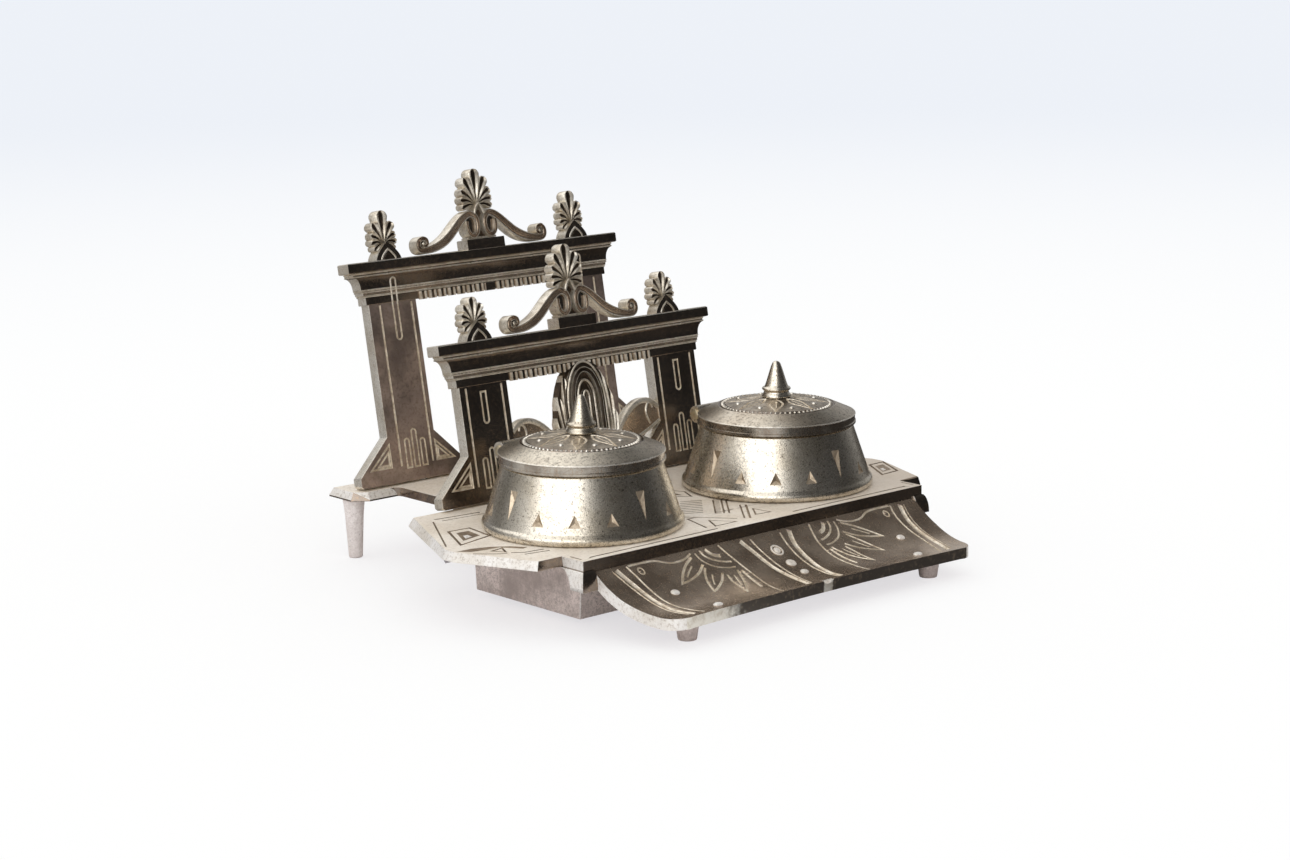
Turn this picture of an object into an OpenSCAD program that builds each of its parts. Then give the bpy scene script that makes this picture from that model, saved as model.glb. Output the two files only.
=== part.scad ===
// Desk inkstand of cast and plated brass: a deck with a pen tray in front, two lidded inkpots
// and two letter racks shaped as little temple fronts. Millimetres, +Z up, -Y is the front.
// The model is laid out from the front face of the deck (y = 0) and the floor (z = 0), then
// moved back so that the origin is on the floor in the middle of the whole outline.

/* [Deck] */
// Half the width over the side points, at the top face
deck_half_w = 114; // [100:0.5:130]
// Height of the top face over the floor
deck_top = 28.6; // [26:0.1:34]
// Thickness of the deck plate
deck_t = 3.6; // [3:0.1:5]
// How far the bevelled edge runs out below the top face
deck_bevel = 1.4; // [0.4:0.1:2]
// Distance from the front face to the back edge of the main plate
deck_depth = 101; // [95:0.5:125]
// Half the width over the shoulders behind the front notches
shoulder_half_w = 101; // [97:0.1:106]
// Half the width over the rear ears
ear_half_w = 91.2; // [84:0.1:98]
// Half the width of the neck between the main plate and the rear plate
neck_half_w = 62; // [56:0.5:70]
// Half the width of the rear plate, at the top face
rear_half_w = 81.5; // [78:0.5:92]
// Depth of the rear plate, front to back
rear_plate_d = 17.5; // [16:0.5:24]
// Height of the rough rim under the side points
apron_h = 1.6; // [1:0.1:3]
// Thickness of the rough rim
apron_t = 3; // [2:0.1:5]

/* [Front fascia] */
// Half the width of the front face
fascia_half_w = 90; // [86:0.5:95]
// Thickness of the fascia bar
fascia_t = 4; // [3:0.1:6]
// Height of the front face, deck plate included
fascia_h = 11; // [9.6:0.1:14]
// How far the foot of each corner post spreads
post_flare = 2.2; // [0.2:0.1:3]

/* [Pen tray] */
// How far each end of the tray sits in from the end of the fascia
tray_inset = 5; // [3:0.1:16]
// How much narrower the tray is at its lip, on each side
lip_taper = 4.4; // [1:0.1:12]
// How far the tray reaches in front of the fascia
tray_reach = 38.8; // [32:0.1:48]
// Radius of the hollow of the tray
tray_r = 50; // [44:0.5:60]
// How far the lowest line of the hollow lies under the deck's top face
tray_drop = 16.8; // [14:0.1:19]
// Distance of that lowest line in front of the fascia
tray_low_y = 33; // [28:0.1:36]
// Thickness of the tray
tray_t = 4.3; // [3.5:0.1:6]
// How far the middle of the lip sits back from its ends
lip_hollow = 3.2; // [0:0.1:6]
// Radius of the rounded lip corners
lip_corner_r = 9.4; // [2:0.1:12]
// Half the width of the nick in the middle of the lip
nick_half_w = 3; // [2:0.1:4]

/* [Inkpots] */
// Distance of each pot from the middle line
pot_x = 51.9; // [42:0.1:60]
// Distance of each pot behind the front face
pot_y = 45; // [41:0.5:52]
// Width of a pot's rim round the collar of its liner
pot_rim_w = 5.3; // [3.5:0.1:8]
// How much wider a pot is at its foot, on each side
pot_spread = 8.1; // [4:0.1:10]
// Height of a pot, without its lid
pot_h = 24.9; // [20:0.1:32]
// Height of the rounded foot
pot_foot_h = 4.4; // [3:0.1:6]
// Wall of a pot
pot_wall = 2.4; // [1.8:0.1:3]
// Thickness of the shoulder that carries the liner
shoulder_t = 4.2; // [3.6:0.1:6]

/* [Lids and knobs] */
// How far the rim of a lid stands out beyond the mouth of its pot
lid_overhang = 1.2; // [0.4:0.1:3]
// Height of the upright rim of a lid
lid_rim_h = 4.2; // [3:0.1:6]
// Width of the bevel over the rim, seen from above
lid_bevel_w = 8.4; // [5:0.1:12]
// Height of the bevel over the rim
lid_bevel_h = 3.6; // [2:0.1:5]
// Rise of the shallow cone on top of a lid
lid_dome_h = 3; // [0:0.1:4]
// Wall of a lid
lid_wall = 1.8; // [1.4:0.1:2.4]
// Height of a knob over the lid
knob_h = 14.6; // [10:0.1:18]
// Radius of the collar of a knob
knob_collar_r = 5.9; // [4.6:0.1:8]
// Radius of the foot of the knob's slender cone
knob_foot_r = 3.8; // [2.4:0.1:4.4]
// Radius of the tip of a knob
knob_tip_r = 1.7; // [1:0.1:2.2]
// Height of the rolled collar of a knob
knob_collar_h = 4.2; // [2.4:0.1:5]
// Radius of the knob's shank through the lid
knob_shank_r = 1.5; // [1:0.1:2]

/* [Hinges] */
// Radius of the hinge barrel
barrel_r = 3.6; // [2.8:0.1:4.2]
// Radius of the hinge pin
pin_r = 1.5; // [1:0.1:1.9]
// Half the width of the lid's knuckle
lid_knuckle_half_w = 4; // [3:0.1:6]
// Width of each knuckle of the pot
pot_knuckle_w = 7; // [4:0.1:9]
// Gap between the barrel and the rim of the lid
barrel_gap = 0.6; // [0.4:0.1:1.5]

/* [Ink liners] */
// Outer radius of a glass liner
liner_r = 21.5; // [16:0.1:23]
// Wall of a liner
liner_wall = 2.4; // [1.6:0.1:3.5]
// Thickness of a liner's floor
liner_floor = 3; // [2:0.1:5]
// Thickness of the collar that hangs in the shoulder
liner_collar_t = 2.2; // [1.6:0.1:3]
// Width of the collar beyond the liner's side
liner_collar_w = 3.6; // [2.5:0.1:4.5]

/* [Well boxes] */
// Gap between a liner and the sides of its box
box_side_gap = 4; // [3.4:0.1:7]
// Gap between a liner and the front and back of its box, at the bottom
box_end_gap = 6.6; // [4:0.1:9]
// Height of the underside of a box over the floor
box_low = 2.4; // [1.5:0.1:9]
// Wall of a box
box_wall = 3; // [2:0.1:3.5]
// Floor of a box
box_floor = 2; // [1.5:0.1:3]
// How far the front and the back of a box lean in at the bottom
box_draft = 1.4; // [0:0.1:2]

/* [Letter racks] */
// Height of the front rack to its cornice, along its face
front_rack_h = 64.3; // [58:0.1:76]
// Height of the rear rack to its cornice, along its face
rear_rack_h = 91.8; // [80:0.1:104]
// Distance from the front face to the foot of the front rack
front_rack_y = 98.2; // [92:0.1:104]
// Distance between the feet of the two racks
rack_gap = 54.4; // [48:0.1:64]
// Lean of both racks, in degrees
rack_lean = 10.1; // [4:0.1:14]
// Thickness of the rack castings
rack_t = 5.6; // [4.5:0.1:7]
// Half the width of the foot bar
foot_bar_half_w = 78.6; // [74:0.1:84]
// Height of the foot bar
foot_bar_h = 5.4; // [4.5:0.1:7]
// Half the width over the pilasters
pilaster_half_w = 63; // [56:0.1:66]
// Width of each pilaster
pilaster_w = 24; // [16:0.1:26]
// Height of the side struts
strut_h = 14; // [10:0.1:20]
// Width of the side struts
strut_w = 14; // [8:0.1:15]
// Half the width of the cornice
cornice_half_w = 71.9; // [68:0.1:78]
// How far the cornice stands in front of the pilasters
cornice_out = 2; // [0.8:0.1:3]

/* [Rack ornaments] */
// Height of the flat face of the cornice
corona_h = 4.2; // [3:0.1:5]
// Height of the step under the flat face
fillet_h = 1.5; // [1:0.1:3]
// Height of the hollow moulding
cavetto_h = 5.7; // [4:0.1:7]
// Height of the band under the hollow moulding
band_h = 2.4; // [1.5:0.1:4]
// Height of the frieze at the bottom
frieze_h = 3.9; // [3:0.1:6]
// Number of teeth on each side of the middle block
teeth = 7; // [4:1:8]
// Distance between teeth
tooth_pitch = 5; // [4.2:0.1:5.2]
// Half the width of the block in the middle of the cornice
block_half_w = 10; // [6:0.1:12]
// Height of that block
block_h = 4.4; // [2:0.1:6]
// Height of the middle crest over the cornice
crest_h = 34; // [28:0.1:40]
// Reach of the scroll arms on each side
scroll_reach = 35.2; // [28:0.1:38]
// Width of the middle palmette
palmette_w = 16.4; // [12:0.1:20]
// Height of the middle palmette
palmette_h = 19; // [15:0.1:22]
// Distance of the side ornaments from the middle
acroter_x = 50.3; // [44:0.1:58]
// Height of the side ornaments of the front rack
front_acroter_h = 17.4; // [14:0.1:22]
// Height of the side ornaments of the rear rack
rear_acroter_h = 20.4; // [16:0.1:25]
// Width of the side ornaments
acroter_w = 12.6; // [9:0.1:15]
// Thickness of the crest ornaments
crest_t = 5; // [3.5:0.1:6]
// How far the volutes and pointed arches stand in front of the palmettes
crest_out = 1.8; // [0.5:0.1:2.4]

/* [Fan panel] */
// Half the width of the fan
fan_half_w = 16; // [12:0.1:18]
// How far the fan laps over the cornice mouldings
fan_lap = 3.2; // [2:0.1:3.8]
// How far the fan stands in front of the pilasters
fan_out = 1.6; // [0.8:0.1:2.5]
// Height of the side scrolls over the foot bar
side_scroll_h = 26.2; // [20:0.1:30]
// Thickness of the fan and its scrolls behind the pilasters' faces
fan_t = 4; // [3:0.1:5]

/* [Feet and legs] */
// Distance of the front feet from the middle line
foot_x = 64.3; // [50:0.1:72]
// Distance of the front feet in front of the fascia
foot_y = 27.2; // [20:0.1:30]
// Radius of a front foot at the floor
foot_r = 3.5; // [2.5:0.1:5]
// Radius of a front foot under the tray
foot_top_r = 4.8; // [4:0.1:6]
// Distance of the rear legs from the middle line
leg_x = 77.5; // [68:0.1:80]
// Radius of a rear leg at the floor
leg_r = 2.9; // [2.4:0.1:4]
// Radius of a rear leg under the plate
leg_top_r = 4.7; // [4:0.1:6]

/* [Fixings] */
// Radius of a screw's shank
screw_r = 1.5; // [1:0.1:1.8]
// Radius of a screw's head
screw_head_r = 2.8; // [2.4:0.1:3.4]
// Height of a screw's head
screw_head_h = 1.8; // [1.2:0.1:2]
// Distance of the rack screws from the middle line
rack_screw_x = 46; // [36:0.5:54]
// Width of the square post round each pot screw, in the corner of a box
box_post_w = 8.6; // [7.6:0.1:9.4]
// Radius of the bosses inside a pot
pot_boss_r = 3.4; // [3:0.1:4]
// Radius of the plain locating pins
dowel_r = 1.2; // [0.8:0.1:1.5]

/* [Clearances] */
// Gap under a closed lid and beside its knuckle
lid_gap = 0.4; // [0.3:0.05:0.8]
// Gap round the hinge pin in the lid's knuckle
pin_gap = 0.05; // [0.02:0.01:0.1]
// Gap round a liner in its seat
liner_gap = 0.6; // [0.3:0.1:1.2]
// Gap under a liner
liner_foot_gap = 1.2; // [0.5:0.1:3]

/* [Hidden] */
$fn = 96;
eps = 0.01;       // overrun of a cut past a face
reach = 400;      // longer than any part of the inkstand

// Side of each doubled piece
LEFT = -1;
RIGHT = 1;
SIDES = [LEFT, RIGHT];

// Deck
deck_low = deck_top - deck_t;
side_point_y = [44.5, 50.5];               // ends of the short flat at each side point
notch_y = 12;                              // back of the front notches
ear_y = deck_depth - 10.5;                 // front of the straight side of each ear
rear_y = front_rack_y + rack_gap - 1.2;    // front edge of the rear plate
rear_corner = 4.6;                         // cut off each front corner of the rear plate
neck_fillet_r = 4;
apron_set_in = 1.2;                        // how far the rough rim sits in from the bottom edge

// Tray and fascia
fascia_low = deck_top - fascia_h;
post_w = 5;                                // width of a corner post at its top
tray_half_w = fascia_half_w - tray_inset;
lip_half_w = tray_half_w - lip_taper;
tray_low = deck_top - tray_drop;
tray_centre_z = tray_low + tray_r;
tray_rim_z = tray_centre_z - sqrt(tray_r * tray_r - tray_low_y * tray_low_y);
tray_under_z = tray_centre_z - sqrt(pow(tray_r + tray_t, 2) - tray_low_y * tray_low_y);
tray_screw_z = tray_under_z + screw_r + 0.5;
tray_screw_xs = [for (k = [-1.5:1:1.5]) k * tray_half_w / 2];
tray_screw_in = 2;                         // how far those screws run into the tray
lip_mid_y = lip_hollow - tray_reach;       // the lip at the middle of its length
lip_mid_z = tray_centre_z - sqrt(tray_r * tray_r - pow(tray_low_y + lip_mid_y, 2));
nick_r = 4;

fascia_pin_h = 8;
foot_spigot_r = 1.6;                       // peg of a front foot, up into the tray
foot_under_z = tray_centre_z - sqrt(pow(tray_r + tray_t, 2) - pow(foot_y - tray_low_y, 2));
foot_spigot_top = foot_under_z + 2;
leg_spigot_r = 2;                          // peg of a rear leg, up into the rear plate
leg_spigot_h = 2.6;

// Pots, lids and liners
mouth_r = liner_r + liner_gap;
seat_r = mouth_r + liner_collar_w;
pot_top_r = seat_r + pot_rim_w;
pot_foot_r = pot_top_r + pot_spread;
pot_top = deck_top + pot_h;
pot_slope = pot_spread / pot_h;
lid_r = pot_top_r + lid_overhang;
lid_flat_r = lid_r - lid_bevel_w;
lid_low = pot_top + lid_gap;
lid_flat_z = lid_low + lid_rim_h + lid_bevel_h;
lid_top = lid_flat_z + lid_dome_h;
lid_top_r = 4.6;                           // radius of the level seat under the knob
lid_hollow_z = lid_top - lid_wall;
knob_nut_h = 1.8;
knob_nut_r = knob_shank_r + 1.8;
liner_low = box_low + box_floor + liner_foot_gap;
box_half_w = liner_r + box_side_gap + box_wall;
box_half_d = liner_r + box_end_gap + box_wall + box_draft;
pot_screw_d = box_half_w - box_wall - box_post_w / 2;
boss_hole_h = 8;                           // depth of the screw holes in a pot's bosses

// Hinges
hinge_y = pot_y + lid_r + barrel_gap + barrel_r;
hinge_z = lid_low;
pin_head_h = 0.8;
pin_half_l = lid_knuckle_half_w + lid_gap + pot_knuckle_w;

// Racks: heights along the rack's own face
entablature_h = corona_h + fillet_h + cavetto_h + band_h + frieze_h;
pilaster_in = pilaster_half_w - pilaster_w;
tooth_w = 3;
mid_block_half_w = 2.5;                    // plain block between the two rows of teeth
tooth_out = 0.8;
band_out = 0.4;
band_side = 2.4;                           // how far the band overhangs each pilaster
cavetto_side = 3.6;                        // how far the top of the hollow overhangs the band
rack_rise = rack_t * sin(rack_lean);       // lift that sets the back edge of the foot on the deck
crest_y = rack_t - crest_t;
foot_boss_r = 2.6;
rack_screw_top = 5;                        // how far the rack screws reach over the deck
spigot_r = 1;
spigot_h = 4;

// The whole outline, front to back
front_rack_z = deck_top + rack_rise;
outline_front = -tray_reach;
outline_back = front_rack_y + rack_gap + (rear_rack_h + crest_h) * sin(rack_lean)
    + rack_t * cos(rack_lean);
middle_y = (outline_front + outline_back) / 2;

// ---- helpers ----

module at_origin() {
    translate([0, -middle_y, 0]) children();
}

// Points of an arc about [cx, cy], from angle a0 to angle a1
function arc(cx, cy, r, a0, a1, n = 12) =
    [for (i = [0:n]) let (a = a0 + (a1 - a0) * i / n) [cx + r * cos(a), cy + r * sin(a)]];

// The same outline on both sides of x = 0: the points run up the right-hand side
function mirrored(p) = concat(p, [for (i = [len(p) - 1:-1:0]) [-p[i][0], p[i][1]]]);

// A point of a cubic curve with end points a, d and handles b, c
function curve_point(a, b, c, d, t) =
    pow(1 - t, 3) * a + 3 * pow(1 - t, 2) * t * b + 3 * (1 - t) * t * t * c + pow(t, 3) * d;

// A flat outline drawn as width and height, made solid from y0 to y0 + t
module slab(t, y0 = 0) {
    translate([0, y0 + t, 0]) rotate([90, 0, 0]) linear_extrude(height = t) children();
}

// An outline drawn as depth and height, made solid over half_w to each side of x = 0
module bar(half_w) {
    rotate([90, 0, 90]) translate([0, 0, -half_w]) linear_extrude(height = 2 * half_w) children();
}

// A plate whose straight edges slope out below its top face; the outline is convex
module bevelled_plate(top, bottom) {
    hull() {
        translate([0, 0, deck_top - 0.4]) linear_extrude(height = 0.4) polygon(top);
        translate([0, 0, deck_low]) linear_extrude(height = 0.6) polygon(bottom);
    }
}

module at_pot(side) {
    translate([side * pot_x, pot_y, 0]) children();
}

module at_pot_screws() {
    for (i = SIDES, j = SIDES) translate([i * pot_screw_d, j * pot_screw_d, 0]) children();
}

module at_rack(y) {
    translate([0, y, front_rack_z]) rotate([-rack_lean, 0, 0]) children();
}

// Upright screw axes under both racks
module at_rack_screws(y) {
    for (side = SIDES) translate([side * rack_screw_x, y + rack_t * cos(rack_lean) / 2, 0]) children();
}

module screw(length) {
    cylinder(r = screw_head_r, h = screw_head_h);
    cylinder(r = screw_r, h = screw_head_h + length);
}

// ---- deck ----

function main_outline(out) = mirrored([
    [shoulder_half_w + out * 0.6, notch_y - out * 0.3],
    [deck_half_w + out, side_point_y[0]],
    [deck_half_w + out, side_point_y[1]],
    [ear_half_w + out, ear_y],
    [ear_half_w + out, deck_depth + out]
]);

function rear_outline(out) = mirrored([
    [rear_half_w - rear_corner, rear_y - out],
    [rear_half_w + out, rear_y + rear_corner - 1],
    [rear_half_w + out, rear_y + rear_plate_d + out]
]);

module neck_outline() {
    difference() {
        translate([-neck_half_w - neck_fillet_r, deck_depth - 2])
            square([2 * (neck_half_w + neck_fillet_r), rear_y - deck_depth + 4]);
        for (side = SIDES) {
            translate([side * (neck_half_w + neck_fillet_r), rear_y - neck_fillet_r])
                circle(r = neck_fillet_r);
            translate([side * (neck_half_w + neck_fillet_r), deck_depth + neck_fillet_r])
                circle(r = neck_fillet_r);
            translate([side * (neck_half_w + neck_fillet_r / 2), (rear_y + deck_depth) / 2])
                square([neck_fillet_r + eps, rear_y - deck_depth - 2 * neck_fillet_r], center = true);
        }
    }
}

// The rough rim under the edge from a side point to its ear
module apron(side) {
    out = deck_half_w + deck_bevel - apron_set_in;
    back = ear_half_w + deck_bevel - apron_set_in;
    translate([0, 0, deck_low - apron_h]) linear_extrude(height = apron_h)
        polygon([
            [side * out, side_point_y[1]],
            [side * back, ear_y],
            [side * (back - apron_t), ear_y],
            [side * (out - apron_t), side_point_y[1]]
        ]);
}

module deck_plate() {
    color([0.80, 0.77, 0.70]) at_origin() difference() {
        union() {
            bevelled_plate(main_outline(0), main_outline(deck_bevel));
            bevelled_plate(rear_outline(0), rear_outline(deck_bevel));
            translate([-fascia_half_w, 0, deck_low]) cube([2 * fascia_half_w, notch_y + 2, deck_t]);
            translate([0, 0, deck_low]) linear_extrude(height = deck_t) neck_outline();
            for (side = SIDES) apron(side);
        }
        for (side = SIDES) at_pot(side) translate([0, 0, deck_low - eps]) {
            cylinder(r = mouth_r + 2, h = deck_t + 2 * eps);
            at_pot_screws() cylinder(r = screw_r, h = deck_t + 2 * eps);
        }
        for (y = [front_rack_y, front_rack_y + rack_gap]) at_rack_screws(y)
            translate([0, 0, deck_low - eps]) cylinder(r = screw_r, h = deck_t + 2 * eps);
        fascia_pin_places() cylinder(r = dowel_r, h = fascia_pin_h);
        for (side = SIDES) translate([side * leg_x, leg_y(), deck_low - eps])
            cylinder(r = leg_spigot_r, h = leg_spigot_h + eps);
    }
}

// ---- fascia and tray ----

module fascia_pin_places() {
    for (x = [-fascia_half_w + 8, 0, fascia_half_w - 8])
        translate([x, fascia_t / 2, deck_low - fascia_pin_h + deck_t - 1]) children();
}

module tray_screw_places() {
    for (x = tray_screw_xs) translate([x, fascia_t, tray_screw_z]) rotate([90, 0, 0]) children();
}

// A corner post: a bracket hollowed out behind, whose front and side swell towards its foot
module corner_post(side) {
    swell = [for (a = [0:15:90]) [sin(a), cos(a)]];
    height = deck_low - fascia_low;
    intersection() {
        translate([side * (fascia_half_w - post_w / 2 + post_flare / 2), 0, 0])
            bar(post_w / 2 + post_flare / 2) polygon(concat(
                [for (p = swell) [-post_flare * p[0], deck_low - height * (1 - p[1])]],
                arc(notch_y, fascia_low, height - 0.4, 180, 90, 8),
                [[notch_y, deck_low]]
            ));
        slab(reach, -reach / 2) polygon(concat(
            [[side * (fascia_half_w - post_w), deck_low], [side * (fascia_half_w - post_w), fascia_low]],
            [for (k = [len(swell) - 1:-1:0])
                [side * (fascia_half_w + post_flare * swell[k][0]), deck_low - height * (1 - swell[k][1])]]
        ));
    }
}

module front_fascia() {
    color([0.28, 0.25, 0.20]) at_origin() difference() {
        union() {
            translate([-fascia_half_w, 0, fascia_low])
                cube([2 * fascia_half_w, fascia_t, deck_low - fascia_low]);
            for (side = SIDES) corner_post(side);
        }
        fascia_pin_places() cylinder(r = dowel_r, h = fascia_pin_h);
        tray_screw_places() {
            screw(fascia_t);
            translate([0, 0, -eps]) cylinder(r = screw_head_r, h = screw_head_h);
        }
    }
}

// The rolled shape of the tray, or with extra = tray_t the shape under it
module tray_roll(r) {
    translate([0, -tray_low_y, tray_centre_z]) rotate([0, 90, 0])
        cylinder(r = r, h = 2 * reach, center = true, $fn = 192);
}

function lip_y(x) = -tray_reach + lip_hollow * (1 - pow(x / lip_half_w, 2));

function tray_outline() = mirrored(concat(
    [for (x = [0:lip_half_w / 9:lip_half_w - lip_corner_r]) [x, lip_y(x)]],
    arc(lip_half_w - lip_corner_r, -tray_reach + lip_corner_r, lip_corner_r, -90, 0, 6),
    [[tray_half_w - 1.2, -tray_reach * 0.35]],
    [[tray_half_w, 0]]
));

module pen_tray() {
    color([0.36, 0.33, 0.27]) at_origin() difference() {
        intersection() {
            difference() {
                tray_roll(tray_r + tray_t);
                tray_roll(tray_r);
            }
            linear_extrude(height = tray_rim_z + eps) polygon(tray_outline());
        }
        translate([0, lip_mid_y, lip_mid_z + sqrt(nick_r * nick_r - nick_half_w * nick_half_w)])
            rotate([90, 0, 0]) cylinder(r = nick_r, h = 6, center = true);
        tray_screw_places() cylinder(r = screw_r, h = fascia_t + tray_screw_in);
        for (side = SIDES) translate([side * foot_x, -foot_y, 0])
            cylinder(r = foot_spigot_r, h = foot_spigot_top);
    }
}

// ---- well boxes ----

module well_box(side) {
    front = pot_y - box_half_d;
    back = pot_y + box_half_d;
    color([0.66, 0.58, 0.56]) at_origin() translate([side * pot_x, 0, 0]) difference() {
        bar(box_half_w) polygon([
            [front, deck_low],
            [front + box_draft, box_low],
            [back - box_draft, box_low],
            [back, deck_low]
        ]);
        difference() {
            translate([-box_half_w + box_wall, front + box_wall + box_draft, box_low + box_floor])
                cube([2 * (box_half_w - box_wall), 2 * (box_half_d - box_wall - box_draft), reach]);
            translate([0, pot_y, 0]) at_pot_screws() pillar();
        }
        translate([0, pot_y, box_low - eps]) at_pot_screws() {
            cylinder(r = screw_head_r, h = screw_head_h + eps);
            cylinder(r = screw_r, h = reach);
        }
    }
}

// A square post round each long screw, in the corner of the box
module pillar() {
    cube([box_post_w, box_post_w, reach], center = true);
}

module left_well_box() { well_box(LEFT); }
module right_well_box() { well_box(RIGHT); }

// ---- pots and liners ----

// The outer shape of a pot: a rounded foot and a tapering side
module pot_shape() {
    foot_in = pot_foot_r - 1.6;
    rotate_extrude() union() {
        polygon([
            [0, deck_top],
            [foot_in, deck_top],
            [pot_foot_r - pot_slope * pot_foot_h, deck_top + pot_foot_h],
            [pot_top_r, pot_top],
            [0, pot_top]
        ]);
        translate([pot_foot_r - pot_foot_h / 2, deck_top + pot_foot_h / 2])
            circle(r = pot_foot_h / 2, $fn = 32);
    }
}

module pot(side) {
    inner_foot_r = pot_foot_r - pot_wall - 1.6;
    inner_top_r = pot_top_r - pot_wall + pot_slope * shoulder_t;
    color([0.62, 0.58, 0.50]) at_origin() at_pot(side) difference() {
        union() {
            difference() {
                pot_shape();
                rotate_extrude() polygon([
                    [0, deck_top - eps],
                    [inner_foot_r, deck_top - eps],
                    [inner_top_r, pot_top - shoulder_t],
                    [0, pot_top - shoulder_t]
                ]);
            }
            intersection() {
                pot_shape();
                at_pot_screws() translate([0, 0, deck_top]) cylinder(r = pot_boss_r, h = pot_h - shoulder_t);
            }
            for (i = SIDES) pot_knuckle(i);
        }
        translate([0, 0, pot_top - liner_collar_t]) cylinder(r = seat_r, h = liner_collar_t + eps);
        translate([0, 0, deck_top]) cylinder(r = mouth_r, h = pot_h);
        at_pot_screws() translate([0, 0, deck_top - eps]) cylinder(r = screw_r, h = boss_hole_h);
        hinge_axis() cylinder(r = pin_r, h = reach, center = true);
    }
}

module left_pot() { pot(LEFT); }
module right_pot() { pot(RIGHT); }

// From a pot's middle to the axis of its hinge
module hinge_axis() {
    translate([0, hinge_y - pot_y, hinge_z]) rotate([0, 90, 0]) children();
}

// One of the pot's two knuckles, on a web that runs forward to the wall
module pot_knuckle(i) {
    inner = lid_knuckle_half_w + lid_gap;
    hinge_axis() translate([0, 0, i > 0 ? inner : -inner - pot_knuckle_w])
        cylinder(r = barrel_r, h = pot_knuckle_w);
    translate([i > 0 ? inner : -inner - pot_knuckle_w, seat_r + 2, hinge_z - barrel_r])
        cube([pot_knuckle_w, hinge_y - pot_y - seat_r - 2, pot_top - hinge_z + barrel_r]);
}

module liner(side) {
    color([0.80, 0.86, 0.86, 0.6]) at_origin() at_pot(side) rotate_extrude() polygon([
        [0, liner_low],
        [liner_r - 1, liner_low],
        [liner_r, liner_low + 1],
        [liner_r, pot_top - liner_collar_t],
        [liner_r + liner_collar_w, pot_top - liner_collar_t],
        [liner_r + liner_collar_w, pot_top],
        [liner_r - liner_wall, pot_top],
        [liner_r - liner_wall, liner_low + liner_floor],
        [0, liner_low + liner_floor]
    ]);
}

module left_liner() { liner(LEFT); }
module right_liner() { liner(RIGHT); }

// ---- lids, knobs and hinge pins ----

module lid(side) {
    color([0.58, 0.55, 0.48]) at_origin() at_pot(side) difference() {
        union() {
            rotate_extrude() polygon([
                [0, lid_top],
                [lid_top_r, lid_top],
                [lid_flat_r, lid_flat_z],
                [lid_r, lid_low + lid_rim_h],
                [lid_r, lid_low],
                [lid_r - lid_wall, lid_low],
                [lid_r - lid_wall, lid_low + lid_rim_h - lid_wall / 2],
                [lid_flat_r - lid_wall / 2, lid_flat_z - lid_wall],
                [lid_top_r, lid_hollow_z],
                [0, lid_hollow_z]
            ]);
            hinge_axis() cylinder(r = barrel_r, h = 2 * lid_knuckle_half_w, center = true);
            translate([-lid_knuckle_half_w, lid_r - lid_wall, lid_low + lid_gap])
                cube([2 * lid_knuckle_half_w, hinge_y - pot_y - lid_r + lid_wall, barrel_r - lid_gap]);
        }
        hinge_axis() cylinder(r = pin_r + pin_gap, h = reach, center = true);
        translate([0, 0, lid_hollow_z - eps]) cylinder(r = knob_shank_r, h = lid_wall + 2 * eps);
    }
}

module left_lid() { lid(LEFT); }
module right_lid() { lid(RIGHT); }

// The turned knob: a shank, a rolled collar and a slender cone with a rounded tip
module knob(side) {
    collar_h = knob_collar_h;
    cone_top = knob_h - knob_tip_r;
    color([0.70, 0.67, 0.60]) at_origin() at_pot(side) translate([0, 0, lid_top]) rotate_extrude()
        union() {
            translate([0, -lid_wall - knob_nut_h - 0.4]) square([knob_shank_r, lid_wall + knob_nut_h + 0.4]);
            square([knob_collar_r - collar_h / 3, collar_h]);
            translate([knob_collar_r - collar_h / 3, collar_h / 3]) circle(r = collar_h / 3, $fn = 32);
            polygon([
                [0, 0],
                [knob_foot_r, collar_h],
                [knob_tip_r, cone_top],
                [0, cone_top]
            ]);
            intersection() {
                translate([0, cone_top]) circle(r = knob_tip_r, $fn = 32);
                translate([0, cone_top]) square(knob_tip_r);
            }
        }
}

module left_knob() { knob(LEFT); }
module right_knob() { knob(RIGHT); }

module knob_nut(side) {
    color([0.72, 0.60, 0.34]) at_origin() at_pot(side)
        translate([0, 0, lid_hollow_z - knob_nut_h]) difference() {
            cylinder(r = knob_nut_r, h = knob_nut_h, $fn = 6);
            translate([0, 0, -eps]) cylinder(r = knob_shank_r, h = knob_nut_h + 2 * eps);
        }
}

module left_knob_nut() { knob_nut(LEFT); }
module right_knob_nut() { knob_nut(RIGHT); }

module hinge_pin(side) {
    color([0.72, 0.60, 0.34]) at_origin() at_pot(side) hinge_axis() {
        cylinder(r = pin_r, h = 2 * pin_half_l + 2 * pin_head_h, center = true);
        for (i = SIDES) translate([0, 0, i * (pin_half_l + pin_head_h / 2)])
            cylinder(r = pin_r + 0.7, h = pin_head_h, center = true);
    }
}

module left_hinge_pin() { hinge_pin(LEFT); }
module right_hinge_pin() { hinge_pin(RIGHT); }

// ---- letter racks ----

// Half of the entablature seen from the front, from the frieze up to the cornice
function entablature_side(h) =
    let (
        low = h - entablature_h,
        band_low = low + frieze_h,
        hollow_low = band_low + band_h,
        hollow_top = hollow_low + cavetto_h,
        band_x = pilaster_half_w + band_side,
        hollow_x = band_x + cavetto_side
    ) concat(
        [[0, low], [pilaster_half_w + 1.2, low], [pilaster_half_w + 1.2, band_low]],
        [[band_x, band_low], [band_x, hollow_low]],
        [for (a = [0:15:90]) [hollow_x - cavetto_side * cos(a), hollow_low + cavetto_h * sin(a)]],
        [[cornice_half_w, hollow_top], [cornice_half_w, h], [0, h]]
    );

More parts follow.
